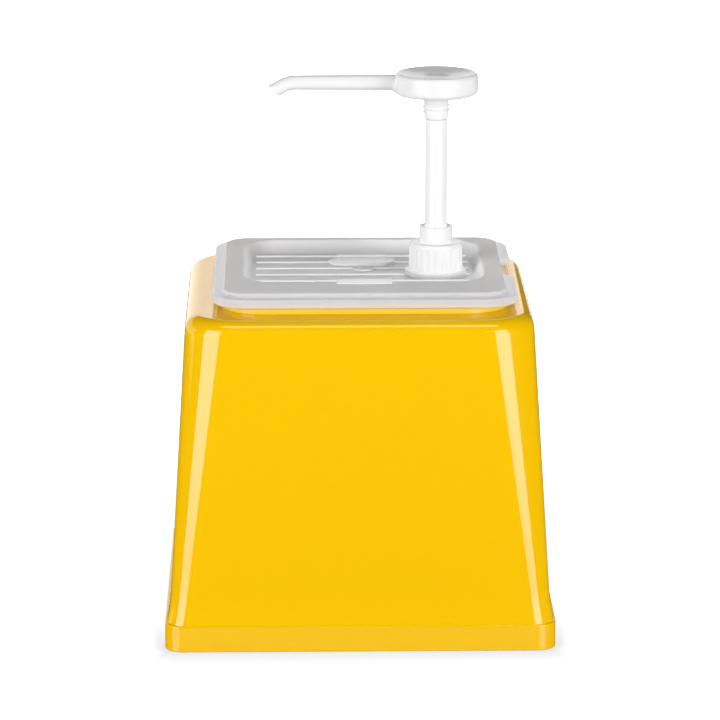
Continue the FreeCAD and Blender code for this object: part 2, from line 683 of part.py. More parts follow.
def make_head():
    """Thumb disc with a dished top, the lock sleeve below it and the spout moulded to its side."""
    body = new_body("head", PUMP_PLACE[:2] + ("%s + head_level" % PUMP_PLACE[2],))

    disc = sketch_on(body, "XZ_Plane", "HeadDisc")
    outline(disc, [
        ("0", "0"),
        ("disc_radius", "0"),
        ("disc_radius", "disc_height"),
        ("0", "disc_height"),
    ])
    plate = turned(body, "Revolution", disc)
    edges = level_edges(plate, "0") + level_edges(plate, "disc_height")
    rounded(body, plate, edges, "disc_round")

    dish = sketch_on(body, "XZ_Plane", "HeadDish")
    low = Vector(0, length("disc_height - dish_depth"), 0)
    rim = Vector(length("dish_radius"), length("disc_height"), 0)
    axis_top = Vector(0, rim.y, 0)
    dish_radius = length("(dish_radius ^ 2 + dish_depth ^ 2) / (2 * dish_depth)")
    centre = Vector(0, low.y + dish_radius, 0)
    start = -math.pi / 2
    end = math.atan2(rim.y - centre.y, rim.x)
    bowl = Part.ArcOfCircle(Part.Circle(centre, Vector(0, 0, 1), dish_radius), start, end)
    dish.addGeometry(bowl, False)
    dish.addGeometry(Part.LineSegment(rim, axis_top), False)
    dish.addGeometry(Part.LineSegment(axis_top, low), False)
    for i in range(3):
        dish.addConstraint(Sketcher.Constraint("Coincident", i, 2, (i + 1) % 3, 1))
    dish.addConstraint(Sketcher.Constraint("PointOnObject", 0, 3, -2))
    place_point(dish, "low", (0, 1), "0", "disc_height - dish_depth")
    place_point(dish, "rim", (0, 2), "dish_radius", "disc_height")
    place_point(dish, "top", (1, 2), "0", "disc_height")
    turned(body, "Groove", dish)
    dimple = sketch_on(body, "XY_Plane", "HeadDimple", "disc_height")
    circle(dimple, "dimple_radius")
    prism(body, "Pocket", dimple, "dish_depth + dimple_depth", downward=True)

    sleeve = sketch_on(body, "XZ_Plane", "HeadSleeve")
    outline(sleeve, [
        ("0", "-sleeve_length"),
        ("sleeve_tip_radius", "-sleeve_length"),
        ("sleeve_radius", "-sleeve_length * 0.55"),
        ("sleeve_radius", "1"),
        ("0", "1"),
    ])
    turned(body, "Revolution", sleeve)

    spout_shape(body, "Additive", "spout_root", "spout_root_radius", "spout_radius")

    cut = sketch_on(body, "XZ_Plane", "HeadSpoutCut")
    turn = "cos(spout_turn + spout_cut)", "sin(spout_turn + spout_cut)"
    tip_x = "-(spout_straight + spout_bend_radius * sin(spout_turn) + spout_end * cos(spout_turn))"
    tip_y = "spout_level - spout_bend_radius * (1 - cos(spout_turn)) - spout_end * sin(spout_turn)"
    beside = "3 * spout_radius * "
    beyond = "4 * spout_radius * "
    high = (tip_x + " - " + beside + turn[1], tip_y + " + " + beside + turn[0])
    low = (tip_x + " + " + beside + turn[1], tip_y + " - " + beside + turn[0])
    outward = (" - " + beyond + turn[0], " - " + beyond + turn[1])
    outline(cut, [high, low, (low[0] + outward[0], low[1] + outward[1]),
                  (high[0] + outward[0], high[1] + outward[1])])
    trimmed = prism(body, "Pocket", cut, "6 * spout_radius")
    trimmed.Midplane = True

    spout_shape(body, "Subtractive", "0", "spout_bore", "spout_bore")
    socket = sketch_on(body, "XZ_Plane", "HeadSocket")
    socket_end = "spigot_length - sleeve_length"
    outline(socket, [
        ("0", "-sleeve_length - 1"),
        ("spigot_radius + running_gap", "-sleeve_length - 1"),
        ("spigot_radius + running_gap", socket_end),
        ("stem_bore", socket_end),
        ("stem_bore", "spout_level"),
        ("0", "spout_level"),
    ])
    turned(body, "Groove", socket)
    return body


def spout_shape(body, kind, start, root_radius, tip_radius):
    """The spout's solid, or its bore: a straight taper from a start inside the disc, then a bend."""
    name = "Head" + kind
    root = sketch_on(body, "YZ_Plane", name + "Root", "-(%s)" % start)
    circle(root, root_radius, "0", "spout_level")
    neck = sketch_on(body, "YZ_Plane", name + "Neck", "-spout_straight")
    circle(neck, tip_radius, "0", "spout_level")
    loft(body, kind + "Loft", root, neck)
    path = sketch_on(body, "XZ_Plane", name + "Path")
    bend_start = Vector(-length("spout_straight"), length("spout_level"), 0)
    bend = length("spout_bend_radius")
    turn = math.radians(length("spout_turn"))
    centre = bend_start - Vector(0, bend, 0)
    arc = Part.Circle(centre, Vector(0, 0, 1), bend)
    path.addGeometry(Part.ArcOfCircle(arc, math.pi / 2, math.pi / 2 + turn), False)
    mouth = centre + Vector(-bend * math.sin(turn), bend * math.cos(turn), 0)
    run = "2 * spout_end"
    reach = length(run)
    tip = mouth + Vector(-reach * math.cos(turn), -reach * math.sin(turn), 0)
    path.addGeometry(Part.LineSegment(mouth, tip), False)
    path.addConstraint(Sketcher.Constraint("Tangent", 0, 2, 1, 1))
    place_point(path, "start", (0, 1), "-spout_straight", "spout_level")
    path.addConstraint(Sketcher.Constraint("Vertical", 0, 1, 0, 3))
    bind(path, "bend", "Radius", (0,), "spout_bend_radius")
    bind(path, "run", "Distance", (1, 1, 1, 2), run)
    path.addConstraint(Sketcher.Constraint("Angle", 1, -math.pi + turn))
    pipe = body.newObject("PartDesign::" + kind + "Pipe", name + "Pipe")
    pipe.Profile = neck
    pipe.Spine = path
    return pipe


PUMP_PLACE = (
    "pan_shift_x + pump_x",
    "pan_shift_y + pump_y",
    "case_height + lip_height + flange_thickness + plateau_height - recess_drop + boss_height",
)

bodies = [make_casing(), make_container(), make_lid(), make_screw_cap(),
          make_lock_collar(), make_stem_guide(), make_barrel(), make_stem(), make_head()]
doc.recompute()

for item in doc.Objects:
    state = [word for word in item.State if word in ("Invalid", "Error")]
    if state:
        raise RuntimeError("%s is %s" % (item.Label, state))
for body in bodies:
    if body.Shape.isNull() or not body.Shape.isValid():
        raise RuntimeError("%s has no valid shape" % body.Label)

os.makedirs("parts", exist_ok=True)
for body in bodies:
    body.Shape.exportStep(os.path.join("parts", body.Label + ".step"))
    box = body.Shape.BoundBox
    print("%-12s %9.1f mm3  solids %d  x %.1f..%.1f  y %.1f..%.1f  z %.1f..%.1f" % (
        body.Label, body.Shape.Volume, len(body.Shape.Solids),
        box.XMin, box.XMax, box.YMin, box.YMax, box.ZMin, box.ZMax))
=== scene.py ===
import math

import bpy
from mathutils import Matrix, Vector


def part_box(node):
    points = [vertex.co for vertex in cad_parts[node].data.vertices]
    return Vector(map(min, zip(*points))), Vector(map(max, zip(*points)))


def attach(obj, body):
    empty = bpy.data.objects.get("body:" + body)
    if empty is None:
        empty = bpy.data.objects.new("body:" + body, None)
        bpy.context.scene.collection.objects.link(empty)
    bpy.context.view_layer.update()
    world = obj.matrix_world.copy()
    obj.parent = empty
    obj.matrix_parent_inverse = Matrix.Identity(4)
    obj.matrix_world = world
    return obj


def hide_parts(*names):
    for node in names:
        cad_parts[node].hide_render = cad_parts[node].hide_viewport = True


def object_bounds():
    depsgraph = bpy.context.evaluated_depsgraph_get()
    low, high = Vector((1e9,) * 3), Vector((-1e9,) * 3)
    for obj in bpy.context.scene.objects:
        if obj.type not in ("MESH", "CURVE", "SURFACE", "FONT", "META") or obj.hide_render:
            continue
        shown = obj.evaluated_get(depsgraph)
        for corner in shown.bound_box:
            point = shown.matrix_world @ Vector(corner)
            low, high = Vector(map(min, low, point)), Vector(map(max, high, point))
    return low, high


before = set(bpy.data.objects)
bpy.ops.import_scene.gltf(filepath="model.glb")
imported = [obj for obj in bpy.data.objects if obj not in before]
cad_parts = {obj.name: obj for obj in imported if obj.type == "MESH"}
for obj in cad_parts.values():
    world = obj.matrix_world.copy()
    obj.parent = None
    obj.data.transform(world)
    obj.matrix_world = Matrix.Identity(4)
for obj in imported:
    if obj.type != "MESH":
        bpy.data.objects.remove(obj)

cad_low, cad_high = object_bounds()

# ------------------------------------------------------------------ casing
# The casing is one injection-moulded shell of glossy yellow ABS, open below, that stands on its plinth.
# Its walls lean in with the mould's draft and sweep out at the foot. A soft edge runs round the top,
# and an upstanding lip round the mouth carries the pan.

MM = 0.001
CORNER_STEPS = 14
SIDE_STEPS = 14

_, case_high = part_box("casing")
pan_low, pan_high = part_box("container")
pan_centre = ((pan_low + pan_high) / 2).to_2d()

PLINTH_HEIGHT = 15.5 * MM
PLINTH_CORNER = 10.5 * MM
PLINTH_STEP = 0.8 * MM
PLINTH_EDGE = 0.6 * MM
FLARE_HEIGHT = 18.6 * MM
FLARE_WIDTH = 1.75 * MM
LIP_HEIGHT = 3.6 * MM
LIP_WALL = 2.5 * MM
CASE_TOP = case_high.z - LIP_HEIGHT
CASE_TOP_HALF = Vector((100.05, 95.5)) * MM
CASE_TOP_CORNER = 26.5 * MM
CASE_TOP_ROUND = 8.7 * MM
CASE_WALL = 3.0 * MM
MOUTH_HALF = Vector((80.0, 73.0)) * MM
MOUTH_CORNER = 22.0 * MM
SUPPORT = 0.35 * MM      # from an edge to the ring beside it that keeps it crisp


def rounded_outline(half, corner, z, centre=(0.0, 0.0)):
    """A rounded rectangle at a height, anticlockwise from above. Every outline has as many points."""
    points = []
    reach = Vector((half[0] - corner, half[1] - corner))
    turns = ((1, 1), (-1, 1), (-1, -1), (1, -1))
    for quarter, (sign_x, sign_y) in enumerate(turns):
        middle = Vector((centre[0] + sign_x * reach.x, centre[1] + sign_y * reach.y))
        for step in range(CORNER_STEPS + 1):
            angle = math.pi / 2 * (quarter + step / CORNER_STEPS)
            points.append(Vector((middle.x + corner * math.cos(angle),
                                  middle.y + corner * math.sin(angle), z)))
        following = turns[(quarter + 1) % 4]
        start = points[-1]
        end_angle = math.pi / 2 * (quarter + 1)
        end = Vector((centre[0] + following[0] * reach.x + corner * math.cos(end_angle),
                      centre[1] + following[1] * reach.y + corner * math.sin(end_angle), z))
        points += [start.lerp(end, step / SIDE_STEPS) for step in range(1, SIDE_STEPS)]
    return points


def linked(name, data):
    """An object of the scene, at the origin, with its data."""
    item = bpy.data.objects.new(name, data)
    bpy.context.scene.collection.objects.link(item)
    return item


def skin(name, rings, looped=False, capped=False):
    """A mesh over rings of points. Rings that climb while they run anticlockwise face outwards."""
    count = len(rings[0])
    points = [point for ring in rings for point in ring]
    faces = []
    for row in range(len(rings) if looped else len(rings) - 1):
        below = row * count
        above = (row + 1) % len(rings) * count
        for i in range(count):
            j = (i + 1) % count
            faces.append((below + i, below + j, above + j, above + i))
    if capped:
        faces.append(tuple(reversed(range(count))))
        faces.append(tuple(range(len(points) - count, len(points))))
    mesh = bpy.data.meshes.new(name)
    mesh.from_pydata(points, [], faces)
    mesh.validate()
    shade(mesh)
    return linked(name, mesh)


def shade(mesh, crease=math.radians(38)):
    """Smooth shading, with a crisp line wherever the surface turns by more than the crease."""
    mesh.shade_smooth()
    mesh.set_sharp_from_angle(angle=crease)


def spread(start, end, steps):
    """Evenly spaced values from start to end."""
    return [start + (end - start) * step / steps for step in range(steps + 1)]


def casing_outline(z, inset=0.0):
    """The walls' outline at a height, drawn in by an inset."""
    share = (z - PLINTH_HEIGHT) / (CASE_TOP - PLINTH_HEIGHT)
    foot = Vector((case_high.x, case_high.y)) - Vector((1, 1)) * (PLINTH_STEP + FLARE_WIDTH)
    half = foot.lerp(CASE_TOP_HALF, share) - Vector((1, 1)) * inset
    corner = PLINTH_CORNER + (CASE_TOP_CORNER - PLINTH_CORNER) * share - inset
    return rounded_outline(half, corner, z)


def casing_rings():
    """Rings up the outside, over the soft edge and the lip, and down the inside of the shell."""
    half = Vector((case_high.x, case_high.y))

    def plinth(inset, z):
        return rounded_outline(half - Vector((1, 1)) * inset, PLINTH_CORNER - inset, z)

    rings = []
    for angle in spread(0, math.pi / 2, 3):
        rings.append(plinth(PLINTH_EDGE * (1 - math.sin(angle)), PLINTH_EDGE * (1 - math.cos(angle))))
    rings += [plinth(0, PLINTH_EDGE + SUPPORT), plinth(0, PLINTH_HEIGHT / 2),
              plinth(0, PLINTH_HEIGHT - PLINTH_EDGE - SUPPORT)]
    for angle in spread(0, math.pi / 2, 4):
        rings.append(plinth(PLINTH_EDGE * (1 - math.cos(angle)),
                            PLINTH_HEIGHT - PLINTH_EDGE * (1 - math.sin(angle))))
    for share in spread(0, 1, 8):
        rings.append(casing_outline(PLINTH_HEIGHT + FLARE_HEIGHT * share, -FLARE_WIDTH * (1 - share) ** 2))
    for z in spread(PLINTH_HEIGHT + FLARE_HEIGHT, CASE_TOP - CASE_TOP_ROUND - SUPPORT, 12)[1:]:
        rings.append(casing_outline(z))
    for angle in spread(0, math.pi / 2, 12):
        rings.append(casing_outline(CASE_TOP - CASE_TOP_ROUND * (1 - math.sin(angle)),
                                    CASE_TOP_ROUND * (1 - math.cos(angle))))
    rings.append(casing_outline(CASE_TOP, CASE_TOP_ROUND + SUPPORT))

    def lip(inset, z):
        outset = LIP_WALL - inset
        return rounded_outline(MOUTH_HALF + Vector((1, 1)) * outset, MOUTH_CORNER + outset, z, pan_centre)

    rings += [lip(-SUPPORT, CASE_TOP), lip(0, CASE_TOP + SUPPORT), lip(0, case_high.z - SUPPORT),
              lip(SUPPORT, case_high.z), lip(LIP_WALL - SUPPORT, case_high.z),
              lip(LIP_WALL, case_high.z - SUPPORT), lip(LIP_WALL, CASE_TOP - CASE_WALL)]
    inner_round = CASE_TOP_ROUND - CASE_WALL
    for angle in spread(math.pi / 2, 0, 6):
        rings.append(casing_outline(CASE_TOP - CASE_WALL - inner_round * (1 - math.sin(angle)),
                                    CASE_WALL + inner_round * (1 - math.cos(angle))))
    for z in spread(CASE_TOP - CASE_WALL - inner_round, 0, 6)[1:]:
        rings.append(casing_outline(z, CASE_WALL))
    return rings


def add_node(tree, kind, inputs=None, **settings):
    """A node with its settings made and its inputs given as values or linked from sockets."""
    node = tree.nodes.new(kind)
    for name, value in settings.items():
        setattr(node, name, value)
    for name, value in (inputs or {}).items():
        if isinstance(value, bpy.types.NodeSocket):
            tree.links.new(value, node.inputs[name])
        else:
            node.inputs[name].default_value = value
    return node


def maths(tree, operation, *values):
    """The result of a Math node on numbers or sockets."""
    return add_node(tree, "ShaderNodeMath", dict(enumerate(values)), operation=operation).outputs[0]


def moulded_surface():
    """Shader group: the slight clouding of colour and gloss, and the fine skin, of moulded plastic."""
    tree = bpy.data.node_groups.new("Moulded surface", "ShaderNodeTree")
    sockets = (("Colour", "NodeSocketColor", (0.8, 0.8, 0.8, 1)),
               ("Cloud colour", "NodeSocketColor", (0.7, 0.7, 0.7, 1)),
               ("Clouds per metre", "NodeSocketFloat", 12.0),
               ("Gloss", "NodeSocketFloat", 0.2),
               ("Gloss spread", "NodeSocketFloat", 0.05),
               ("Skin per metre", "NodeSocketFloat", 500.0),
               ("Skin strength", "NodeSocketFloat", 0.05))
    for name, kind, value in sockets:
        tree.interface.new_socket(name, in_out="INPUT", socket_type=kind).default_value = value
    tree.interface.new_socket("Colour", in_out="OUTPUT", socket_type="NodeSocketColor")
    tree.interface.new_socket("Roughness", in_out="OUTPUT", socket_type="NodeSocketFloat")
    tree.interface.new_socket("Normal", in_out="OUTPUT", socket_type="NodeSocketVector")
    given = add_node(tree, "NodeGroupInput").outputs
    place = add_node(tree, "ShaderNodeTexCoord").outputs["Object"]
    clouds = add_node(tree, "ShaderNodeTexNoise",
                      {"Vector": place, "Scale": given["Clouds per metre"], "Detail": 3.0})
    colour = add_node(tree, "ShaderNodeMix",
                      {0: clouds.outputs["Fac"], 6: given["Colour"], 7: given["Cloud colour"]},
                      data_type="RGBA")
    skin_noise = add_node(tree, "ShaderNodeTexNoise",
                          {"Vector": place, "Scale": given["Skin per metre"], "Detail": 2.0})
    sway = maths(tree, "SUBTRACT", clouds.outputs["Fac"], 0.5)
    gloss = maths(tree, "ADD", maths(tree, "MULTIPLY", sway, given["Gloss spread"]), given["Gloss"])
    bump = add_node(tree, "ShaderNodeBump", {"Strength": given["Skin strength"], "Distance": 0.0002,
                                             "Height": skin_noise.outputs["Fac"]})
    add_node(tree, "NodeGroupOutput", {"Colour": colour.outputs[2], "Roughness": gloss,
                                       "Normal": bump.outputs["Normal"]})
    return tree


MOULDED = moulded_surface()


def plastic(name, look, **shader_values):
    """A material of moulded plastic. Returns it with its surface group and its shader, to build on."""
    material = bpy.data.materials.new(name)
    material.use_nodes = True
    tree = material.node_tree
    tree.nodes.clear()
    surface = add_node(tree, "ShaderNodeGroup", node_tree=MOULDED)
    for socket, value in look.items():
        surface.inputs[socket].default_value = value
    shader = add_node(tree, "ShaderNodeBsdfPrincipled",
                      {"Base Color": surface.outputs["Colour"],
                       "Roughness": surface.outputs["Roughness"],
                       "Normal": surface.outputs["Normal"]})
    for socket, value in shader_values.items():
        shader.inputs[socket.replace("_", " ")].default_value = value
    add_node(tree, "ShaderNodeOutputMaterial", {"Surface": shader.outputs["BSDF"]})
    return material, surface, shader


def by_height(tree, low, high, at_low=0.0, at_high=1.0, **settings):
    """A value that changes evenly, or smoothly, from one height to another."""
    place = add_node(tree, "ShaderNodeTexCoord")
    height = add_node(tree, "ShaderNodeSeparateXYZ", {0: place.outputs["Object"]})
    share = add_node(tree, "ShaderNodeMapRange",
                     {"Value": height.outputs["Z"], "From Min": low, "From Max": high,
                      "To Min": at_low, "To Max": at_high}, **settings)
    return share.outputs["Result"]


def tinted_by_depth(material, colour, shader, low, high, low_colour):
    """Tints a plastic from one height to another, to paint light or shade that changes with height. It tints
    upwards where the first is the higher.
    """
    tree = material.node_tree
    depth = by_height(tree, low, high, interpolation_type="SMOOTHSTEP")
    tint = add_node(tree, "ShaderNodeMix", {0: depth, 6: low_colour, 7: colour}, data_type="RGBA")
    tree.links.new(tint.outputs[2], shader.inputs["Base Color"])
    return tint


YELLOW_ABS, abs_surface, abs_shader = plastic(
    "Yellow ABS",
    {"Colour": (0.91, 0.530, 0.0008, 1), "Cloud colour": (0.90, 0.520, 0.0008, 1),
     "Clouds per metre": 9.0, "Gloss": 0.085, "Gloss spread": 0.04,
     "Skin per metre": 240.0, "Skin strength": 0.05})

# painted sheen: the lip is painted a paler yellow than the walls of the same shell, for the lid's pale skirt
# mirrored in it
LIP_SHEEN_BLEND = 0.5 * MM
tinted_by_depth(YELLOW_ABS, abs_surface.outputs["Colour"], abs_shader, CASE_TOP + LIP_SHEEN_BLEND, CASE_TOP,
                (0.93, 0.60, 0.05, 1))

casing = skin("casing_shell", casing_rings(), looped=True)
casing.visible_diffuse = False      # keeps its colour off the floor and the lid
casing.data.materials.append(YELLOW_ABS)
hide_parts("casing")
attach(casing, "base")

# --------------------------------------------------------------- container
# The food pan is a gastronorm bucket of natural polypropylene. It hangs in the casing by its flange,
# which shows only at the notch in the lid.

FLANGE_HALF = Vector((86.0, 79.0)) * MM
FLANGE_CORNER = 18.0 * MM
FLANGE_THICKNESS = 3.0 * MM
FLANGE_EDGE = 0.6 * MM
PAN_HALF = Vector((76.4, 69.4)) * MM
PAN_CORNER = 22.0 * MM
PAN_DRAFT = 0.042
PAN_WALL = 2.0 * MM
PAN_BOTTOM_ROUND = 11.0 * MM


def pan_rings():
    """Rings up the outside of the pan, round the flange and down the inside."""
    flange_low = pan_high.z - FLANGE_THICKNESS

    def wall(z, inset=0.0):
        inset = inset + PAN_DRAFT * (flange_low - z)
        return rounded_outline(PAN_HALF - Vector((1, 1)) * inset, PAN_CORNER - inset / 3, z, pan_centre)

    def flange(inset, z):
        return rounded_outline(FLANGE_HALF - Vector((1, 1)) * inset, FLANGE_CORNER - inset, z, pan_centre)

    def bottom(z, thickness, angles):
        bend = PAN_BOTTOM_ROUND - thickness
        return [wall(z + bend * (1 - math.sin(a)), thickness + bend * (1 - math.cos(a))) for a in angles]

    rings = bottom(pan_low.z, 0.0, spread(math.pi / 2, 0, 8))
    rings += [wall(z) for z in spread(pan_low.z + PAN_BOTTOM_ROUND, flange_low, 6)[1:]]
    rings += [flange(FLANGE_EDGE, flange_low), flange(0, flange_low + FLANGE_EDGE),
              flange(0, pan_high.z - FLANGE_EDGE), flange(FLANGE_EDGE, pan_high.z)]
    rings += [wall(z, PAN_WALL) for z in spread(pan_high.z, pan_low.z + PAN_BOTTOM_ROUND, 6)]
    rings += bottom(pan_low.z + PAN_WALL, PAN_WALL, spread(0, math.pi / 2, 8))[1:]
    return rings


NATURAL_PP, pan_surface, pan_shader = plastic(
    "Natural polypropylene",
    {"Colour": (0.80, 0.80, 0.77, 1), "Cloud colour": (0.74, 0.74, 0.71, 1),
     "Clouds per metre": 16.0, "Gloss": 0.34, "Gloss spread": 0.08,
     "Skin per metre": 700.0, "Skin strength": 0.12})

# painted light: the flange and the top of the pan are painted orange, for the yellow casing's light that
# shows through them and bounces onto them
tinted_by_depth(NATURAL_PP, pan_surface.outputs["Colour"], pan_shader, pan_high.z - FLANGE_THICKNESS,
                pan_high.z - 3 * FLANGE_THICKNESS, (0.88, 0.57, 0.20, 1))

pan = skin("pan_shell", pan_rings(), capped=True)
pan.visible_shadow = False      # keeps the casing's lip bright below the flange
pan.data.materials.append(NATURAL_PP)
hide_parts("container")
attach(pan, "base")

# --------------------------------------------------------------------- lid
# The lid is a thin tray of satin polypropylene, moulded in one piece. A skirted rim steps up to a
# plateau, and a recess in it holds the pump's boss and neck. A notch is cut in the right rim.

_, lid_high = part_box("lid")
collar_low, collar_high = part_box("lock_collar")
pump_axis = ((collar_low + collar_high) / 2).to_2d()

LID_HALF = Vector((88.0, 81.0)) * MM
LID_CORNER = 20.0 * MM
LID_WALL = 1.6 * MM
LID_EDGE = 1.0 * MM
LID_SEAT = pan_high.z
SKIRT_FOOT = LID_SEAT - 1.9 * MM
RIM_TOP = LID_SEAT + 3.1 * MM
RIM_WIDTH = 6.5 * MM
PLATEAU_TOP = LID_SEAT + 5.75 * MM
RECESS_HALF = Vector((70.0, 57.2)) * MM
RECESS_CENTRE = (pan_centre.x, pan_centre.y + 10.8 * MM)
RECESS_CORNER = 21.0 * MM
RECESS_DROP = 8.0 * MM
RECESS_DRAFT = 4.3 * MM
RECESS_EDGE = 0.8 * MM
RECESS_FOOT = 0.6 * MM
RECESS_FLOOR = PLATEAU_TOP - RECESS_DROP
BOSS_RADIUS = 18.4 * MM
BOSS_HEIGHT = 3.1 * MM
BOSS_EDGE = 0.7 * MM
NECK_RADIUS = 13.2 * MM
NECK_BORE = 12.2 * MM
NOTCH_LENGTH = 40.0 * MM
NOTCH_CENTRE = pan_centre.y + 2.6 * MM
NOTCH_DEPTH = 6.3 * MM
NOTCH_CORNER = 1.5 * MM


def circle_like(outline, radius, z):
    """A circle about the pump's axis whose points lie on the way to an outline's points."""
    points = []
    for point in outline:
        away = (point.to_2d() - pump_axis).normalized() * radius
        points.append(Vector((pump_axis.x + away.x, pump_axis.y + away.y, z)))
    return points


def lid_rings():
    """Rings up the skirt, over the rim and plateau, down the recess, up the neck and back beneath."""
    def rim(inset, z):
        return rounded_outline(LID_HALF - Vector((1, 1)) * inset, LID_CORNER - inset, z, pan_centre)

    def recess(inset, z):
        half = RECESS_HALF - Vector((1, 1)) * inset
        return rounded_outline(half, RECESS_CORNER - inset, z, RECESS_CENTRE)

    quarter = spread(0, math.pi / 2, 5)
    rings = [rim(SUPPORT, SKIRT_FOOT), rim(0, SKIRT_FOOT + SUPPORT)]
    rings.append(rim(0, RIM_TOP - LID_EDGE - SUPPORT))
    rings += [rim(LID_EDGE * (1 - math.cos(a)), RIM_TOP - LID_EDGE * (1 - math.sin(a))) for a in quarter]
    cove = LID_EDGE / 2
    rings += [rim(LID_EDGE + SUPPORT, RIM_TOP), rim(RIM_WIDTH - cove, RIM_TOP),
              rim(RIM_WIDTH - cove / 3, RIM_TOP + cove / 3), rim(RIM_WIDTH, RIM_TOP + cove)]
    rings += [rim(RIM_WIDTH + LID_EDGE * (1 - math.cos(a)), PLATEAU_TOP - LID_EDGE * (1 - math.sin(a)))
              for a in quarter]
    rings.append(rim(RIM_WIDTH + LID_EDGE + SUPPORT, PLATEAU_TOP))

    def recess_wall(z, inset=0.0):
        return recess(inset + RECESS_DRAFT * (PLATEAU_TOP - z) / RECESS_DROP, z)

    rings.append(recess(-RECESS_EDGE - SUPPORT, PLATEAU_TOP))
    rings += [recess_wall(PLATEAU_TOP - RECESS_EDGE * (1 - math.cos(a)), -RECESS_EDGE * (1 - math.sin(a)))
              for a in quarter]
    rings += [recess_wall(z) for z in spread(PLATEAU_TOP - RECESS_EDGE, RECESS_FLOOR + RECESS_FOOT, 4)[1:]]
    rings += [recess_wall(RECESS_FLOOR + RECESS_FOOT * (1 - math.sin(a)), RECESS_FOOT * (1 - math.cos(a)))
              for a in quarter[1:]]
    floor_edge = recess_wall(RECESS_FLOOR, RECESS_FOOT + SUPPORT)
    boss_foot = circle_like(floor_edge, BOSS_RADIUS + BOSS_EDGE, RECESS_FLOOR)
    for share in spread(0, 1, 6):
        rings.append([a.lerp(b, share) for a, b in zip(floor_edge, boss_foot)])

    def ring(radius, z):
        return circle_like(floor_edge, radius, z)

    boss_top = RECESS_FLOOR + BOSS_HEIGHT
    rings += [ring(BOSS_RADIUS, RECESS_FLOOR + BOSS_EDGE), ring(BOSS_RADIUS, boss_top - BOSS_EDGE),
              ring(BOSS_RADIUS - BOSS_EDGE / 3, boss_top - BOSS_EDGE / 3),
              ring(BOSS_RADIUS - BOSS_EDGE, boss_top), ring(NECK_RADIUS, boss_top),
              ring(NECK_RADIUS, lid_high.z), ring(NECK_BORE, lid_high.z),
              ring(NECK_BORE, RECESS_FLOOR - LID_WALL)]
    under_floor = recess(RECESS_DRAFT - LID_WALL, RECESS_FLOOR - LID_WALL)
    rings += [under_floor, recess(-LID_WALL, PLATEAU_TOP - LID_WALL),
              rim(RIM_WIDTH + LID_WALL, PLATEAU_TOP - LID_WALL), rim(RIM_WIDTH + LID_WALL, LID_SEAT),
              rim(LID_WALL, LID_SEAT), rim(LID_WALL, SKIRT_FOOT)]
    return rings


def cut_notch(piece):
    """Cuts the notch through the right rim and its skirt."""
    inner = pan_centre.x + LID_HALF.x - NOTCH_DEPTH
    outer = pan_centre.x + LID_HALF.x + NOTCH_DEPTH
    half = Vector(((outer - inner) / 2, NOTCH_LENGTH / 2))
    centre = ((outer + inner) / 2, NOTCH_CENTRE)
    levels = (SKIRT_FOOT - MM, RIM_TOP + MM)
    cutter = skin("notch_cutter", [rounded_outline(half, NOTCH_CORNER, z, centre) for z in levels],
                  capped=True)
    cut = piece.modifiers.new("Notch", "BOOLEAN")
    cut.object = cutter
    cut.solver = "EXACT"
    graph = bpy.context.evaluated_depsgraph_get()
    finished = bpy.data.meshes.new_from_object(piece.evaluated_get(graph))
    piece.modifiers.clear()
    piece.data = finished
    bpy.data.objects.remove(cutter)
    shade(finished)


SATIN = {"Clouds per metre": 22.0, "Gloss": 0.60, "Gloss spread": 0.08, "Skin per metre": 900.0,
         "Skin strength": 0.10}
SOFT_DEPTH = {"Specular_IOR_Level": 0.35, "Subsurface_Weight": 0.9, "Subsurface_Scale": 0.003,
              "Subsurface_Radius": (1.0, 1.0, 1.0)}
RECESS_GLOSS = 0.28
BOSS_WHITE_AND_HIGHLIGHT = (0.86, 0.86, 0.86, 1)

LID_PP, lid_surface, lid_shader = plastic(
    "Satin polypropylene",
    {"Colour": (0.775, 0.78, 0.785, 1), "Cloud colour": (0.74, 0.745, 0.75, 1), **SATIN}, **SOFT_DEPTH)
# painted shade: the lid is painted darker down into the recess, towards its floor
lid_recess_shade = tinted_by_depth(LID_PP, lid_surface.outputs["Colour"], lid_shader, RECESS_FLOOR, PLATEAU_TOP,
                           (0.575, 0.577, 0.58, 1))

# painted shade: a darker copy of the lid's plastic for its upright faces
SHADED_SKIRT_PP, shaded_skirt_surface, shaded_skirt_shader = plastic(
    "Shaded skirt polypropylene",
    {"Colour": (0.62, 0.62, 0.62, 1), "Cloud colour": (0.59, 0.59, 0.59, 1), **SATIN}, **SOFT_DEPTH)
# painted light: towards its foot the skirt is painted paler and warm, for the yellow casing's light just
# below it
tinted_by_depth(SHADED_SKIRT_PP, shaded_skirt_surface.outputs["Colour"], shaded_skirt_shader, SKIRT_FOOT, LID_SEAT + 1.5 * MM,
                (0.74, 0.64, 0.48, 1))


def polished_below(material, surface, shader, level, polish):
    """Makes the plastic glossier below a level: the recess is polished, the plateau is satin."""
    tree = material.node_tree
    gloss = add_node(tree, "ShaderNodeMix", {0: by_height(tree, level - MM, level), 2: polish,
                                             3: surface.outputs["Roughness"]})
    tree.links.new(gloss.outputs[0], shader.inputs["Roughness"])


polished_below(LID_PP, lid_surface, lid_shader, PLATEAU_TOP, RECESS_GLOSS)


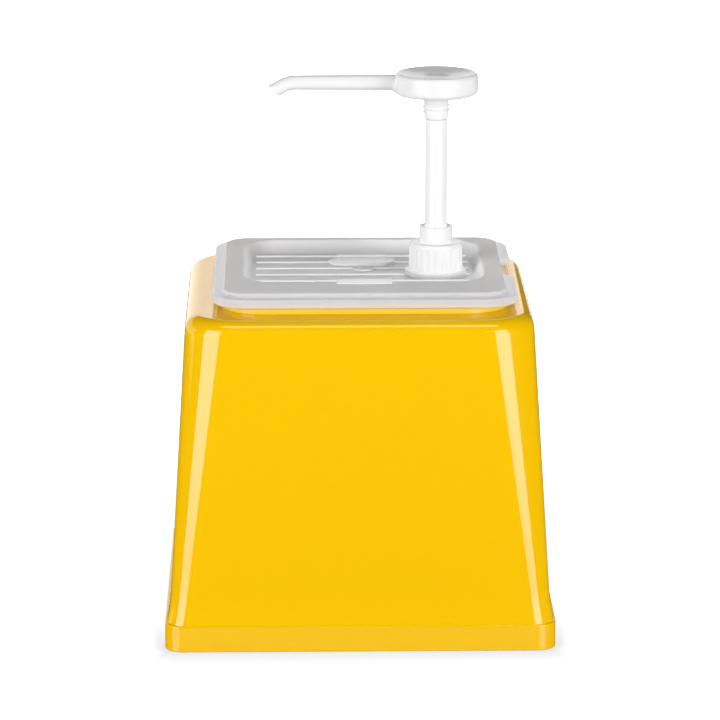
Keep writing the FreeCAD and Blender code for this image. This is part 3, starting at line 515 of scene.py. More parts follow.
def whitened_near_pump(material, tint, shader, inner, outer):
    """Whitens the plastic round the pump's axis, on the neck and the boss's top. Thick plastic is whiter
    there, and the white ring on the boss's top is also a painted highlight along its edge.
    """
    tree = material.node_tree
    place = add_node(tree, "ShaderNodeTexCoord")
    away = add_node(tree, "ShaderNodeVectorMath",
                    {0: place.outputs["Object"], 1: (pump_axis.x, pump_axis.y, 0.0)},
                    operation="SUBTRACT")
    flat = add_node(tree, "ShaderNodeVectorMath", {0: away.outputs[0], 1: (1.0, 1.0, 0.0)},
                    operation="MULTIPLY")
    radius = add_node(tree, "ShaderNodeVectorMath", {0: flat.outputs[0]}, operation="LENGTH")
    share = add_node(tree, "ShaderNodeMapRange",
                     {"Value": radius.outputs["Value"], "From Min": outer, "From Max": inner})
    white = add_node(tree, "ShaderNodeMix", {0: share.outputs["Result"], 6: tint.outputs[2],
                                             7: BOSS_WHITE_AND_HIGHLIGHT}, data_type="RGBA")
    tree.links.new(white.outputs[2], shader.inputs["Base Color"])


whitened_near_pump(LID_PP, lid_recess_shade, lid_shader, BOSS_RADIUS - 0.8 * MM, BOSS_RADIUS - 0.1 * MM)


def rim_inset(place):
    """How far in from the lid's outer edge a place lies."""
    past = Vector((abs(place.x) - LID_HALF.x + LID_CORNER, abs(place.y) - LID_HALF.y + LID_CORNER))
    corner = Vector((max(past.x, 0.0), max(past.y, 0.0))).length
    return LID_CORNER - corner - min(max(past.x, past.y), 0.0)


# painted shade: the skirt's upright faces and the step up to the plateau are painted a darker grey than the
# rest of the lid, which is one plastic
SKIRT_REACH = RIM_WIDTH + LID_EDGE * 0.9
STEP_FOOT = RIM_TOP + 0.2 * MM
STEP_HEAD = PLATEAU_TOP - 0.01 * MM
LEVEL_ENOUGH = 0.8

lid = skin("lid_tray", lid_rings(), looped=True)
lid.visible_shadow = False      # stands in for the light that thin walls let through
lid.data.materials.append(LID_PP)
lid.data.materials.append(SHADED_SKIRT_PP)
for face in lid.data.polygons:
    outside = rim_inset(face.center.to_2d() - pan_centre) < SKIRT_REACH
    on_step = STEP_FOOT < face.center.z < STEP_HEAD
    upright = face.center.z <= STEP_FOOT and face.normal.z < LEVEL_ENOUGH
    if outside and (on_step or upright):
        face.material_index = 1
cut_notch(lid)
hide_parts("lid")
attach(lid, "base")

# --------------------------------------------------------------- lid marks
# Low pads moulded on the lid: the bare oval plaque, the short bar behind it, both on the recess
# floor, and the thumb tab that runs over the recess's front edge.

PLAQUE_HALF = Vector((19.5, 8.0)) * MM
PLAQUE_CENTRE = (pan_centre.x, pan_centre.y + 39.6 * MM)
BAR_HALF = Vector((15.0, 1.5)) * MM
BAR_CENTRE = (pan_centre.x, pan_centre.y + 56.1 * MM)
MARK_HEIGHT = 1.4 * MM
TAB_HALF = Vector((16.0, 5.0)) * MM
TAB_CENTRE = (pan_centre.x, RECESS_CENTRE[1] - RECESS_HALF.y)
TAB_CORNER = 1.67 * MM
TAB_HEIGHT = 0.4 * MM
TAB_EDGE = 0.25 * MM
MARK_EDGE = 0.5 * MM
SUNK = 0.4 * MM
SHARP_END = 0.01 * MM      # keeps a fully rounded end from closing to a point

# painted highlight: the ribs and pads are painted paler than the lid they are moulded on, for the light they
# catch
LIT_RIB_PP, _, _ = plastic(
    "Lit rib polypropylene",
    {"Colour": (0.86, 0.86, 0.86, 1), "Cloud colour": (0.82, 0.82, 0.82, 1),
     "Clouds per metre": 60.0, "Gloss": 0.18, "Gloss spread": 0.08,
     "Skin per metre": 900.0, "Skin strength": 0.05})


def pad(name, half, corner, centre, foot, top, edge):
    """A low pad with an upright wall and a rounded upper edge."""
    def level(inset, z):
        return rounded_outline(half - Vector((1, 1)) * inset, corner - inset, z, centre)

    rings = [level(0, foot), level(0, top - edge)]
    rings += [level(edge * (1 - math.cos(a)), top - edge * (1 - math.sin(a)))
              for a in spread(0, math.pi / 2, 4)[1:]]
    rings.append(level(edge + SUPPORT / 2, top))
    piece = skin(name, rings, capped=True)
    piece.data.materials.append(LIT_RIB_PP)
    piece.visible_shadow = False
    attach(piece, "base")


pad("lid_plaque", PLAQUE_HALF, PLAQUE_HALF.y - SHARP_END, PLAQUE_CENTRE,
    RECESS_FLOOR - SUNK, RECESS_FLOOR + MARK_HEIGHT, MARK_EDGE)
pad("lid_bar", BAR_HALF, BAR_HALF.y - SHARP_END, BAR_CENTRE,
    RECESS_FLOOR - SUNK, RECESS_FLOOR + MARK_HEIGHT, MARK_EDGE)
pad("lid_tab", TAB_HALF, TAB_CORNER, TAB_CENTRE,
    PLATEAU_TOP - LID_WALL, PLATEAU_TOP + TAB_HEIGHT, TAB_EDGE)

# ---------------------------------------------------------------- lid ribs
# Six stiffening ribs are moulded across the recess floor. They are narrow beads with domed ends, and
# the third from behind bows forward in a half circle at its middle.

RIB_LENGTH = 127.0 * MM
RIB_RADIUS = 0.7 * MM
RIB_HEIGHT = 1.0 * MM
RIB_PITCH = 16.6 * MM
RIB_COUNT = 6
LAST_RIB = pan_centre.y + 56.1 * MM
BOWED_RIB = 2
BOW_RADIUS = 6.0 * MM
BOW_CENTRE = pan_centre.x + 0.6 * MM
RIB_STEP = 0.35 * MM
LEAST_BEAD = 0.08      # share of its radius that a bead keeps at its ends


def bead_tree():
    """Geometry Nodes: a round bead with domed ends along every line it is given."""
    tree = bpy.data.node_groups.new("Bead along a line", "GeometryNodeTree")
    tree.interface.new_socket("Geometry", in_out="INPUT", socket_type="NodeSocketGeometry")
    for name, value in (("Bead radius", 1.0 * MM), ("Step", 1.0 * MM)):
        socket = tree.interface.new_socket(name, in_out="INPUT", socket_type="NodeSocketFloat")
        socket.default_value = value
    tree.interface.new_socket("Sides", in_out="INPUT", socket_type="NodeSocketInt").default_value = 12
    tree.interface.new_socket("Material", in_out="INPUT", socket_type="NodeSocketMaterial")
    tree.interface.new_socket("Geometry", in_out="OUTPUT", socket_type="NodeSocketGeometry")
    given = add_node(tree, "NodeGroupInput").outputs
    curve = add_node(tree, "GeometryNodeMeshToCurve", {"Mesh": given["Geometry"]})
    fine = add_node(tree, "GeometryNodeResampleCurve",
                    {"Curve": curve.outputs[0], "Length": given["Step"]}, mode="LENGTH")
    along = add_node(tree, "GeometryNodeSplineParameter").outputs["Length"]
    whole = add_node(tree, "GeometryNodeSplineLength").outputs["Length"]
    near = maths(tree, "MINIMUM", along, maths(tree, "SUBTRACT", whole, along))
    share = add_node(tree, "ShaderNodeMath", {0: near, 1: given["Bead radius"]},
                     operation="DIVIDE", use_clamp=True).outputs[0]
    square = maths(tree, "MULTIPLY", share, maths(tree, "SUBTRACT", 2.0, share))
    dome = maths(tree, "MAXIMUM", maths(tree, "SQRT", square), LEAST_BEAD)
    tapered = add_node(tree, "GeometryNodeSetCurveRadius", {"Curve": fine.outputs[0], "Radius": dome})
    section = add_node(tree, "GeometryNodeCurvePrimitiveCircle",
                       {"Resolution": given["Sides"], "Radius": given["Bead radius"]})
    swept = add_node(tree, "GeometryNodeCurveToMesh",
                     {"Curve": tapered.outputs[0], "Profile Curve": section.outputs[0],
                      "Fill Caps": True})
    if "Scale" in swept.inputs:
        radius = add_node(tree, "GeometryNodeInputRadius")
        tree.links.new(radius.outputs[0], swept.inputs["Scale"])
    real = add_node(tree, "GeometryNodeRealizeInstances", {"Geometry": swept.outputs[0]})
    coated = add_node(tree, "GeometryNodeSetMaterial",
                      {"Geometry": real.outputs[0], "Material": given["Material"]})
    add_node(tree, "NodeGroupOutput", {"Geometry": coated.outputs[0]})
    return tree


def grow(name, mesh, tree, values):
    """Runs a Geometry Nodes tree on a mesh and keeps the result as a plain piece."""
    piece = linked(name, mesh)
    modifier = piece.modifiers.new("Grow", "NODES")
    modifier.node_group = tree
    for item in tree.interface.items_tree:
        if item.in_out == "INPUT" and item.name in values:
            modifier[item.identifier] = values[item.name]
    graph = bpy.context.evaluated_depsgraph_get()
    finished = bpy.data.meshes.new_from_object(piece.evaluated_get(graph))
    finished.name = name
    piece.modifiers.clear()
    piece.data = finished
    shade(finished)
    return piece


def polyline(name, lines):
    """A mesh of open lines, each a list of points."""
    points = []
    edges = []
    for line in lines:
        edges += [(len(points) + i, len(points) + i + 1) for i in range(len(line) - 1)]
        points += line
    mesh = bpy.data.meshes.new(name)
    mesh.from_pydata(points, edges, [])
    return mesh


def rib_lines(index):
    """The middle of one rib, just above the recess floor. It stops where it meets the pump's boss."""
    y = LAST_RIB - index * RIB_PITCH
    z = RECESS_FLOOR + RIB_HEIGHT - RIB_RADIUS
    line = [Vector((pan_centre.x - RIB_LENGTH / 2, y, z))]
    if index == BOWED_RIB:
        for angle in spread(math.pi, 2 * math.pi, 16):
            line.append(Vector((BOW_CENTRE + BOW_RADIUS * math.cos(angle),
                                y + BOW_RADIUS * math.sin(angle), z)))
    end = Vector((pan_centre.x + RIB_LENGTH / 2, y, z))
    square = (BOSS_RADIUS - RIB_RADIUS) ** 2 - (y - pump_axis.y) ** 2
    if square <= 0:
        return [line + [end]]
    gap = math.sqrt(square)
    return [line + [Vector((pump_axis.x - gap, y, z))], [Vector((pump_axis.x + gap, y, z)), end]]


BEAD = bead_tree()
all_ribs = [line for index in range(RIB_COUNT) for line in rib_lines(index)]
ribs = grow("lid_ribs", polyline("lid_ribs", all_ribs), BEAD,
            {"Bead radius": RIB_RADIUS, "Step": RIB_STEP, "Sides": 12, "Material": LIT_RIB_PP})
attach(ribs, "base")

# --------------------------------------------------------------- screw cap
# The closure is white polypropylene, screwed down on the lid's neck. It is a turned shape with a
# plain foot band and a bevelled top, and upright grip ribs between them.

cap_low, cap_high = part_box("screw_cap")
CAP_RADIUS = (cap_high.x - cap_low.x) / 2
CAP_TOP_RADIUS = 14.9 * MM
CAP_HOLE = 9.9 * MM
CAP_INNER = 13.6 * MM
CAP_TOP_THICKNESS = 2.6 * MM
CAP_BAND = 1.6 * MM
CAP_BEVEL = 2.4 * MM
CAP_GROOVE = 0.45 * MM
CAP_EDGE = 0.35 * MM
GRIP_COUNT = 24
GRIP_WIDTH = 1.5 * MM
GRIP_SINK = 0.4 * MM
GRIP_LEAN = 0.2 * MM
TURN_STEPS = 96


def turned(name, profile, looped=True):
    """A shape turned about the pump's axis. The profile's points are radius and height, outside first."""
    rings = []
    for radius, z in profile:
        rings.append([Vector((pump_axis.x + radius * math.cos(2 * math.pi * i / TURN_STEPS),
                              pump_axis.y + radius * math.sin(2 * math.pi * i / TURN_STEPS), z))
                      for i in range(TURN_STEPS)])
    return skin(name, rings, looped=looped)


def eased(profile, ease, steps=3):
    """A looped profile with each of its corners cut back by a short rounded run."""
    softened = []
    for i, point in enumerate(profile):
        here = Vector(point)
        before = Vector(profile[i - 1])
        after = Vector(profile[(i + 1) % len(profile)])
        start = here + (before - here).normalized() * min(ease, (before - here).length / 3)
        end = here + (after - here).normalized() * min(ease, (after - here).length / 3)
        for share in spread(0, 1, steps):
            softened.append(tuple(start.lerp(here, share).lerp(here.lerp(end, share), share)))
    return softened


WHITE_PP, _, _ = plastic(
    "White polypropylene",
    {"Colour": (0.85, 0.85, 0.85, 1), "Cloud colour": (0.83, 0.83, 0.83, 1),
     "Clouds per metre": 40.0, "Gloss": 0.22, "Gloss spread": 0.06,
     "Skin per metre": 900.0, "Skin strength": 0.05}, Specular_IOR_Level=0.25)

grip_top = cap_high.z - CAP_BEVEL
cap_profile = eased([
    (CAP_INNER, cap_low.z), (CAP_RADIUS, cap_low.z), (CAP_RADIUS, cap_low.z + CAP_BAND),
    (CAP_RADIUS - CAP_GROOVE, cap_low.z + CAP_BAND), (CAP_RADIUS - CAP_GROOVE - 0.1 * MM, grip_top),
    (CAP_RADIUS - 0.2 * MM, grip_top), (CAP_TOP_RADIUS, cap_high.z), (CAP_HOLE, cap_high.z),
    (CAP_HOLE, cap_high.z - CAP_TOP_THICKNESS), (CAP_INNER, cap_high.z - CAP_TOP_THICKNESS)], CAP_EDGE)
cap = turned("cap_shell", cap_profile)
cap.data.materials.append(WHITE_PP)
cap.visible_shadow = False      # it casts no shadow on the lid
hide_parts("screw_cap")
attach(cap, "base")


def grip_bar():
    """One grip rib in its own place on the +X side: a flat-topped bar with sloping flanks and soft edges."""
    inner = CAP_RADIUS - CAP_GROOVE - GRIP_SINK
    half = GRIP_WIDTH / 2
    foot = half + CAP_GROOVE + GRIP_SINK
    shoulder = CAP_RADIUS - 0.14 * MM
    crown = CAP_RADIUS - 0.02 * MM
    flat = half * 0.66
    section = ((inner, -foot), (shoulder, -half), (crown, -flat), (crown, flat), (shoulder, half),
               (inner, foot))
    levels = spread(cap_low.z + CAP_BAND - GRIP_LEAN, grip_top + GRIP_LEAN, 4)
    lean = [-GRIP_LEAN * i / (len(levels) - 1) for i in range(len(levels))]
    points = [(x + shift, y, z) for z, shift in zip(levels, lean) for x, y in section]
    count = len(section)
    faces = [tuple(reversed(range(count))), tuple(range(len(points) - count, len(points)))]
    for row in range(len(levels) - 1):
        for i in range(count):
            j = (i + 1) % count
            low = row * count
            faces.append((low + i, low + j, low + count + j, low + count + i))
    mesh = bpy.data.meshes.new("grip_bar")
    mesh.from_pydata(points, [], faces)
    return mesh


def round_the_axis_tree():
    """Geometry Nodes: copies of a shape set evenly round an upright axis."""
    tree = bpy.data.node_groups.new("Round the axis", "GeometryNodeTree")
    tree.interface.new_socket("Geometry", in_out="INPUT", socket_type="NodeSocketGeometry")
    tree.interface.new_socket("Count", in_out="INPUT", socket_type="NodeSocketInt").default_value = 12
    tree.interface.new_socket("Axis", in_out="INPUT", socket_type="NodeSocketVector")
    tree.interface.new_socket("Material", in_out="INPUT", socket_type="NodeSocketMaterial")
    tree.interface.new_socket("Geometry", in_out="OUTPUT", socket_type="NodeSocketGeometry")
    given = add_node(tree, "NodeGroupInput").outputs
    spots = add_node(tree, "GeometryNodeMeshLine", {"Count": given["Count"], "Offset": (0, 0, 0)})
    index = add_node(tree, "GeometryNodeInputIndex")
    step = maths(tree, "DIVIDE", 2 * math.pi, given["Count"])
    turn = add_node(tree, "ShaderNodeCombineXYZ", {"Z": maths(tree, "MULTIPLY", index.outputs[0], step)})
    copies = add_node(tree, "GeometryNodeInstanceOnPoints",
                      {"Points": spots.outputs[0], "Instance": given["Geometry"],
                       "Rotation": turn.outputs[0]})
    placed = add_node(tree, "GeometryNodeTransform",
                      {"Geometry": copies.outputs[0], "Translation": given["Axis"]})
    real = add_node(tree, "GeometryNodeRealizeInstances", {"Geometry": placed.outputs[0]})
    coated = add_node(tree, "GeometryNodeSetMaterial",
                      {"Geometry": real.outputs[0], "Material": given["Material"]})
    add_node(tree, "NodeGroupOutput", {"Geometry": coated.outputs[0]})
    return tree


grips = grow("cap_grips", grip_bar(), round_the_axis_tree(),
             {"Count": GRIP_COUNT, "Axis": (pump_axis.x, pump_axis.y, 0.0), "Material": WHITE_PP})
grips.visible_shadow = False
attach(grips, "base")

# ------------------------------------------------- collar, guide and barrel
# The lock collar is a white ring that stands through the cap. Under it the stem's guide and the pump
# barrel with its intake tube hang in the neck, out of sight, so they keep their plain turned shape.

COLLAR_RADIUS = (collar_high.x - collar_low.x) / 2
COLLAR_BORE = 8.2 * MM
COLLAR_EDGE = 0.5 * MM

collar = turned("collar_ring", eased([
    (COLLAR_BORE, collar_low.z), (COLLAR_RADIUS, collar_low.z), (COLLAR_RADIUS, collar_high.z),
    (COLLAR_BORE, collar_high.z)], COLLAR_EDGE))
collar.data.materials.append(WHITE_PP)
collar.visible_shadow = False
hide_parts("lock_collar")
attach(collar, "base")

for hidden in ("stem_guide", "pump_barrel"):
    hidden_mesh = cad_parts[hidden].data
    hidden_mesh.materials.clear()
    hidden_mesh.materials.append(WHITE_PP)

# -------------------------------------------------------------------- stem
# The plunger rod is a white polypropylene tube with the piston below it. A thinner spigot at its top
# is pressed into the head.

stem_low, stem_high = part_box("stem")
_, head_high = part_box("head")
STEM_RADIUS = 6.45 * MM
STEM_BORE = 3.0 * MM
PISTON_LENGTH = 12.0 * MM
SPIGOT_RADIUS = 5.5 * MM
SPIGOT_LENGTH = 18.8 * MM
PISTON_RADIUS = (stem_high.x - stem_low.x) / 2
STEM_EDGE = 0.2 * MM

stem = turned("stem_rod", eased([
    (STEM_BORE, stem_low.z), (PISTON_RADIUS, stem_low.z), (PISTON_RADIUS, stem_low.z + PISTON_LENGTH),
    (STEM_RADIUS, stem_low.z + PISTON_LENGTH), (STEM_RADIUS, stem_high.z - SPIGOT_LENGTH),
    (SPIGOT_RADIUS, stem_high.z - SPIGOT_LENGTH), (SPIGOT_RADIUS, stem_high.z),
    (STEM_BORE, stem_high.z)], STEM_EDGE))
stem.data.materials.append(WHITE_PP)
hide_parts("stem")
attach(stem, "plunger")

# -------------------------------------------------------------------- head
# The head is moulded in one piece of white polypropylene: a thick thumb disc with a shallow dish and
# a dimple at its middle, and below it the sleeve whose thread locks into the collar.

DISC_RADIUS = 24.5 * MM
DISC_HEIGHT = 12.7 * MM
DISC_ROUND = 3.2 * MM
DISH_RADIUS = 22.4 * MM
DISH_DEPTH = 2.2 * MM
DIMPLE_RADIUS = 6.5 * MM
DIMPLE_DEPTH = 0.6 * MM
DIMPLE_EDGE = 2.6 * MM
SLEEVE_LENGTH = 14.5 * MM
SLEEVE_RADIUS = 7.2 * MM
SLEEVE_TIP_RADIUS = 6.85 * MM
SOCKET_RADIUS = 5.55 * MM
SOCKET_END = 4.3 * MM
SOCKET_EDGE = 0.2 * MM
TIP_EDGE = 0.4 * MM
ROOT_FILLET = 0.8 * MM
ROOT_BEND = 0.25 * MM
DISH_LIP = 0.5 * MM
DISH_EYE = 0.15 * MM
DISH_STEPS = 34
DISC_FOOT = head_high.z - DISC_HEIGHT
SLEEVE_FOOT = DISC_FOOT - SLEEVE_LENGTH


def dish_height(radius):
    """The dish's surface at a radius: a shallow sphere with the dimple sunk in its middle."""
    bend = (DISH_RADIUS ** 2 + DISH_DEPTH ** 2) / (2 * DISH_DEPTH)
    low = head_high.z - DISH_DEPTH + bend - math.sqrt(bend ** 2 - radius ** 2)
    share = min(max((DIMPLE_RADIUS + DIMPLE_EDGE - radius) / (2 * DIMPLE_EDGE), 0.0), 1.0)
    return low - DIMPLE_DEPTH * share * share * (3 - 2 * share)


def head_profile():
    """Up the sleeve, out and up the disc, in over its dish to the middle, and up the socket last."""
    profile = [(SOCKET_RADIUS, SLEEVE_FOOT + SOCKET_EDGE), (SOCKET_RADIUS + SOCKET_EDGE, SLEEVE_FOOT),
               (SLEEVE_TIP_RADIUS - TIP_EDGE, SLEEVE_FOOT), (SLEEVE_TIP_RADIUS, SLEEVE_FOOT + TIP_EDGE),
               (SLEEVE_RADIUS, SLEEVE_FOOT + SLEEVE_LENGTH * 0.45),
               (SLEEVE_RADIUS, DISC_FOOT - ROOT_FILLET),
               (SLEEVE_RADIUS + ROOT_BEND, DISC_FOOT - ROOT_BEND),
               (SLEEVE_RADIUS + ROOT_FILLET, DISC_FOOT)]
    flat = DISC_RADIUS - DISC_ROUND
    profile.append((flat - SUPPORT, DISC_FOOT))
    for angle in spread(0, math.pi / 2, 8):
        profile.append((flat + DISC_ROUND * math.sin(angle), DISC_FOOT + DISC_ROUND * (1 - math.cos(angle))))
    profile.append((DISC_RADIUS, DISC_FOOT + DISC_HEIGHT / 2))
    crown = DISC_RADIUS - DISH_RADIUS
    for angle in spread(0, math.pi / 2, 8):
        profile.append((DISC_RADIUS - crown * (1 - math.cos(angle)),
                        head_high.z - DISC_ROUND * (1 - math.sin(angle))))
    for radius in spread(DISH_RADIUS - DISH_LIP, DISH_EYE, DISH_STEPS):
        profile.append((radius, dish_height(radius)))
    return profile


head = turned("head_button", head_profile(), looped=False)


def close_turned(piece, socket_end):
    """Closes a turned head at the dish's middle and gives it a blind socket from below."""
    mesh = piece.data
    points = [vertex.co.copy() for vertex in mesh.vertices]
    faces = [tuple(polygon.vertices) for polygon in mesh.polygons]
    first = list(range(TURN_STEPS))
    last = list(range(len(points) - TURN_STEPS, len(points)))
    faces.append(tuple(last))
    roof = [len(points) + i for i in range(TURN_STEPS)]
    points += [Vector((points[i].x, points[i].y, socket_end)) for i in first]
    for i in range(TURN_STEPS):
        j = (i + 1) % TURN_STEPS
        faces.append((first[j], first[i], roof[i], roof[j]))
    faces.append(tuple(reversed(roof)))
    mesh.clear_geometry()
    mesh.from_pydata(points, [], faces)
    shade(mesh)


close_turned(head, DISC_FOOT + SOCKET_END)
head.data.materials.append(WHITE_PP)
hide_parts("head")
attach(head, "head")

# ----------------------------------------------------------- sleeve thread
# A low round thread of a little over two turns is moulded on the sleeve. It screws into the collar
# when the head is locked down.

THREAD_START = DISC_FOOT - 5.6 * MM
THREAD_PITCH = 2.4 * MM
THREAD_TURNS = 2.1
THREAD_RADIUS = 0.55 * MM
THREAD_CREST = 7.95 * MM
THREAD_STEPS = 48
THREAD_TURN = math.radians(200)      # where round the sleeve the thread begins

thread_line = []
for step in range(int(THREAD_TURNS * THREAD_STEPS) + 1):
    thread_angle = THREAD_TURN + 2 * math.pi * step / THREAD_STEPS
    thread_radius = THREAD_CREST - THREAD_RADIUS
    thread_line.append(Vector((pump_axis.x + thread_radius * math.cos(thread_angle),
                               pump_axis.y + thread_radius * math.sin(thread_angle),
                               THREAD_START - THREAD_PITCH * step / THREAD_STEPS)))
thread = grow("sleeve_thread", polyline("sleeve_thread", [thread_line]), BEAD,
              {"Bead radius": THREAD_RADIUS, "Step": 0.5 * MM, "Sides": 10, "Material": WHITE_PP})
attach(thread, "head")

# ------------------------------------------------------------------- spout
# The spout is moulded to the disc's side and tapers slightly. Its root spreads below into a fillet,
# its end is bent down and cut at a slant, and its bore is open.

SPOUT_LEVEL = DISC_FOOT + 7.0 * MM
SPOUT_ROOT = 18.4 * MM
SPOUT_ROOT_RADIUS = 4.65 * MM
SPOUT_RADIUS = 4.25 * MM
SPOUT_BORE = 2.5 * MM
SPOUT_STRAIGHT = 82.5 * MM
SPOUT_BEND = 16.0 * MM
SPOUT_TURN = math.radians(28)
SPOUT_END = 6.3 * MM
SPOUT_CUT = math.radians(20)
SPOUT_SIDES = 40
SPOUT_FILLET = 3.4 * MM
SPOUT_SWELL = 1.1 * MM
SPOUT_LIP = 0.3 * MM
TIP_RUN = 3.2 * MM
BORE_REACH = 24.0 * MM


def spout_centre(run):
    """The middle of the spout and its direction, at a run from the pump's axis."""
    bend_run = SPOUT_BEND * SPOUT_TURN
    past = max(run - SPOUT_STRAIGHT, 0.0)
    angle = min(past / SPOUT_BEND, SPOUT_TURN)
    beyond = max(past - bend_run, 0.0)
    x = min(run, SPOUT_STRAIGHT) + SPOUT_BEND * math.sin(angle) + beyond * math.cos(angle)
    drop = SPOUT_BEND * (1 - math.cos(angle)) + beyond * math.sin(angle)
    middle = Vector((pump_axis.x - x, pump_axis.y, SPOUT_LEVEL - drop))
    return middle, Vector((-math.cos(angle), 0.0, -math.sin(angle)))


def spout_ring(run, radius, drop=0.0, slant=0.0):
    """A ring round the spout at a run. A slant leans it about its side to side axis."""
    middle, ahead = spout_centre(run)
    side = Vector((0.0, 1.0, 0.0))
    down = ahead.cross(side)
    cut_angle = math.atan2(-ahead.z, -ahead.x) + slant
    cut_normal = Vector((-math.cos(cut_angle), 0.0, -math.sin(cut_angle)))
    ring = []
    for i in range(SPOUT_SIDES):
        angle = 2 * math.pi * i / SPOUT_SIDES
        offset = radius * (math.cos(angle) * side + math.sin(angle) * down)
        slide = -offset.dot(cut_normal) / ahead.dot(cut_normal)
        ring.append(middle + Vector((0.0, 0.0, -drop)) + offset + slide * ahead)
    return ring


def spout_rings():
    """Rings out along the spout, round its cut lip and back up its bore."""
    tip = SPOUT_STRAIGHT + SPOUT_BEND * SPOUT_TURN + SPOUT_END
    rings = []
    for run in spread(SPOUT_ROOT, DISC_RADIUS + SPOUT_FILLET, 12) + spread(
            DISC_RADIUS + SPOUT_FILLET, SPOUT_STRAIGHT, 16)[1:]:
        share = (run - SPOUT_ROOT) / (SPOUT_STRAIGHT - SPOUT_ROOT)
        radius = SPOUT_ROOT_RADIUS + (SPOUT_RADIUS - SPOUT_ROOT_RADIUS) * share
        inner = min(max(1 - (run - DISC_RADIUS + MM) / (SPOUT_FILLET + MM), 0.0), 1.0)
        swell = SPOUT_SWELL * inner ** 2
        rings.append(spout_ring(run, radius + swell, drop=swell))
    bend_end = tip - SPOUT_END
    rings += [spout_ring(run, SPOUT_RADIUS) for run in spread(SPOUT_STRAIGHT, bend_end, 10)[1:]]
    rings.append(spout_ring(tip - TIP_RUN, SPOUT_RADIUS))
    rings += [spout_ring(run, radius, slant=SPOUT_CUT) for run, radius in (
        (tip - SPOUT_LIP, SPOUT_RADIUS), (tip, SPOUT_RADIUS - SPOUT_LIP),
        (tip, SPOUT_BORE + SPOUT_LIP / 2), (tip - SPOUT_LIP / 2, SPOUT_BORE))]
    rings += [spout_ring(run, SPOUT_BORE) for run in spread(tip - TIP_RUN, tip - BORE_REACH, 12)]
    return rings


spout = skin("head_spout", spout_rings(), capped=True)
spout.data.materials.append(WHITE_PP)
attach(spout, "head")

# ------------------------------------------------------------------- floor
# A wide pale paper floor runs back past the horizon. It glows to the camera, so that it looks white.
# The grey round the casing's foot is painted on it, mostly in front, and isn't a cast shadow.

FLOOR_HALF = 6.0
DIM_NEAR = 0.16
DIM_FAR = 0.5
DIM_GLOW = 0.74
FOOT_GLOW = 0.62
FOOT_REACH = 0.032
SIDE_FALL = 3.5
BACK_FALL = -0.5


def stage_sheet(name, points, faces):
    """A sheet that belongs to the studio and not to the object."""
    mesh = bpy.data.meshes.new(name)
    mesh.from_pydata(points, [], faces)
    sheet = linked(name, mesh)
    return sheet


floor = stage_sheet("floor", [(-FLOOR_HALF, -FLOOR_HALF, 0), (FLOOR_HALF, -FLOOR_HALF, 0),
                              (FLOOR_HALF, FLOOR_HALF, 0), (-FLOOR_HALF, FLOOR_HALF, 0)], [(0, 1, 2, 3)])
floor_paper = bpy.data.materials.new("Floor paper")
floor_paper.use_nodes = True
paper_tree = floor_paper.node_tree
paper = paper_tree.nodes["Principled BSDF"]
paper.inputs["Base Color"].default_value = (0.60, 0.60, 0.62, 1)
paper.inputs["Roughness"].default_value = 0.9
paper.inputs["Specular IOR Level"].default_value = 0.0
paper.inputs["Emission Color"].default_value = (1, 1, 1, 1)
seen = add_node(paper_tree, "ShaderNodeLightPath")
spot = add_node(paper_tree, "ShaderNodeTexCoord").outputs["Object"]
around = add_node(paper_tree, "ShaderNodeVectorMath", {0: spot}, operation="LENGTH")
# painted shade: the glow is dimmed near the object and reaches full strength half a metre out
lift = add_node(paper_tree, "ShaderNodeMapRange",
                {"Value": around.outputs["Value"], "From Min": DIM_NEAR, "From Max": DIM_FAR,
                 "To Min": DIM_GLOW, "To Max": 1.0})
parts = add_node(paper_tree, "ShaderNodeSeparateXYZ", {0: spot})
beside = maths(paper_tree, "SUBTRACT", maths(paper_tree, "ABSOLUTE", parts.outputs["X"]), cad_high.x)
before = maths(paper_tree, "SUBTRACT", cad_low.y, parts.outputs["Y"])
nearest = maths(paper_tree, "MAXIMUM", before, maths(paper_tree, "MULTIPLY", before, BACK_FALL))
gap = maths(paper_tree, "MAXIMUM", maths(paper_tree, "MULTIPLY", beside, SIDE_FALL), nearest)
contact = add_node(paper_tree, "ShaderNodeMapRange",
                   {"Value": gap, "From Min": 0.0, "From Max": FOOT_REACH,
                    "To Min": FOOT_GLOW, "To Max": 1.0})
painted = maths(paper_tree, "MULTIPLY", lift.outputs["Result"], contact.outputs["Result"])
glow = maths(paper_tree, "MULTIPLY", seen.outputs["Is Camera Ray"], painted)
paper_tree.links.new(glow, paper.inputs["Emission Strength"])
floor.data.materials.append(floor_paper)
floor.visible_glossy = False

# ------------------------------------------------------------ studio light
# Two soft boxes stand in front to the left and right and a weaker one behind. Separate cards, seen only
# in reflections, give the glossy corners and the soft top edge their pale streaks.

KEY_AZIMUTH = 54.0
KEY_ELEVATION = 12.0
KEY_DISTANCE = 2.2
KEY_SIZE = 1.3
KEY_POWER = 38.5
BACK_ELEVATION = 15.0
BACK_POWER = 20.0
LIT_POINT = Vector((0.0, 0.0, 0.13))


def seen_from(target, azimuth, elevation, distance):
    """A place round a target: azimuth 0 is in front, positive to the right, in degrees."""
    a = math.radians(azimuth)
    e = math.radians(elevation)
    return target + distance * Vector((math.sin(a) * math.cos(e), -math.cos(a) * math.cos(e), math.sin(e)))


def aimed(item, target, azimuth, elevation, distance):
    """Puts a lamp or camera round a target and points it there."""
    item.location = seen_from(target, azimuth, elevation, distance)
    item.rotation_euler = (target - item.location).to_track_quat("-Z", "Y").to_euler()


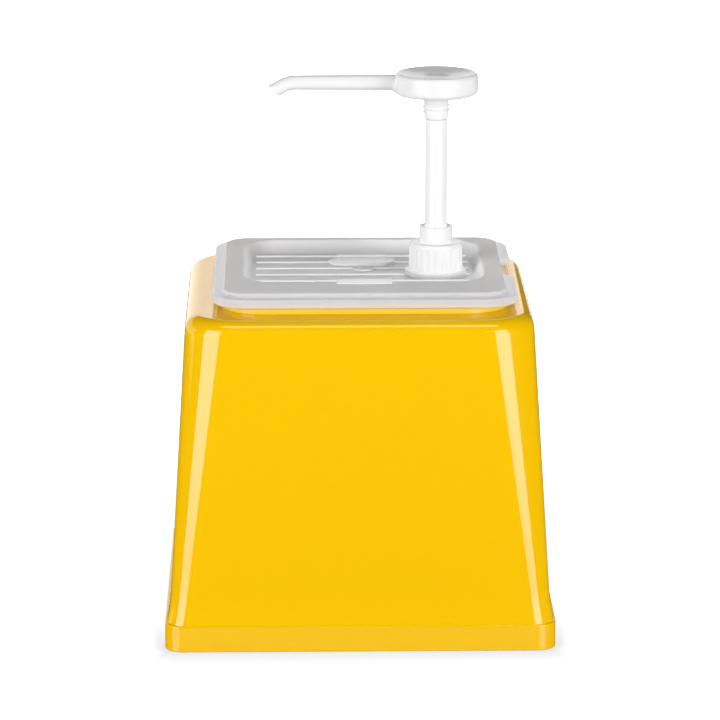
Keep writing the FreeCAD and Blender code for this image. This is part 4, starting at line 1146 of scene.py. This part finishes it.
def soft_box(name, azimuth, elevation, power):
    """A square area light aimed at the object. It lights surfaces but isn't mirrored in them."""
    light = bpy.data.lights.new(name, "AREA")
    light.shape = "SQUARE"
    light.size = KEY_SIZE
    light.energy = power
    lamp = linked(name, light)
    aimed(lamp, LIT_POINT, azimuth, elevation, KEY_DISTANCE)
    lamp.visible_glossy = False


soft_box("key_left", -KEY_AZIMUTH, KEY_ELEVATION, KEY_POWER)
soft_box("key_right", KEY_AZIMUTH, KEY_ELEVATION, KEY_POWER)
soft_box("key_behind", 180.0, BACK_ELEVATION, BACK_POWER)

CARD_DISTANCE = 3.0
CARD_FOOT = -0.47
CARD_HEAD = -0.12
CARD_STEPS = 12
FOOT_RADIANCE = 2.6
FRONT_TINT = (1.0, 0.76, 1.0, 1)


def card(name, azimuths, elevations, radiance, foot_radiance=None, tint=(1.0, 1.0, 1.0, 1)):
    """A curved bright card that only reflections see. It can fade towards its foot."""
    points = [seen_from(LIT_POINT, azimuth, elevation, CARD_DISTANCE) for elevation in elevations
              for azimuth in spread(azimuths[0], azimuths[1], CARD_STEPS)]
    above = CARD_STEPS + 1
    sheet = stage_sheet(name, points, [(i, i + 1, above + i + 1, above + i) for i in range(CARD_STEPS)])
    glowing = bpy.data.materials.new(name)
    glowing.use_nodes = True
    tree = glowing.node_tree
    tree.nodes.clear()
    fade = by_height(tree, CARD_FOOT, CARD_HEAD, foot_radiance or radiance, radiance)
    light = add_node(tree, "ShaderNodeEmission", {"Color": tint, "Strength": fade})
    add_node(tree, "ShaderNodeOutputMaterial", {"Surface": light.outputs[0]})
    sheet.data.materials.append(glowing)
    sheet.visible_camera = False
    sheet.visible_diffuse = False
    sheet.visible_shadow = False
    sheet.visible_transmission = False


card("card_left", (-67, -27), (-32, 42), 6.3, FOOT_RADIANCE, FRONT_TINT)
card("card_right", (15, 50), (-32, 42), 6.9, FOOT_RADIANCE, FRONT_TINT)
card("card_above", (-60, 60), (68, 84), 4.0)
card("card_behind", (166, 200), (-9, 22), 1.45)
card("card_side", (200, 262), (-6, 22), 0.9)
card("card_floor", (-80, 80), (-40, -15.5), 0.45)

FILL = 0.22
MIRRORED_FILL = 0.02

world = bpy.data.worlds.new("Studio")
world.use_nodes = True
sky = world.node_tree
sky.nodes.clear()
ray = add_node(sky, "ShaderNodeLightPath")
fill = add_node(sky, "ShaderNodeMix", {0: ray.outputs["Is Glossy Ray"], 2: FILL, 3: MIRRORED_FILL})
level = add_node(sky, "ShaderNodeMix", {0: ray.outputs["Is Camera Ray"], 2: fill.outputs[0], 3: 1.0})
air = add_node(sky, "ShaderNodeBackground", {"Color": (1, 1, 1, 1), "Strength": level.outputs[0]})
add_node(sky, "ShaderNodeOutputWorld", {"Surface": air.outputs[0]})
bpy.context.scene.world = world
bpy.context.scene.view_settings.view_transform = "Standard"

# ------------------------------------------------------------------ camera
# A long lens on a full-frame camera looks down a little, from just left of the middle and about two and
# a half metres away.

CAMERA_AZIMUTH = -1.041
CAMERA_ELEVATION = 14.054
CAMERA_DISTANCE = 2.4395
CAMERA_TARGET = Vector((0.00146, 0.0, 0.14709))
CAMERA_LENS = 205.43
CAMERA_SENSOR = 36.0

camera_data = bpy.data.cameras.new("camera")
camera_data.sensor_width = CAMERA_SENSOR
camera_data.lens = CAMERA_LENS
camera = linked("camera", camera_data)
aimed(camera, CAMERA_TARGET, CAMERA_AZIMUTH, CAMERA_ELEVATION, CAMERA_DISTANCE)
bpy.context.scene.camera = camera
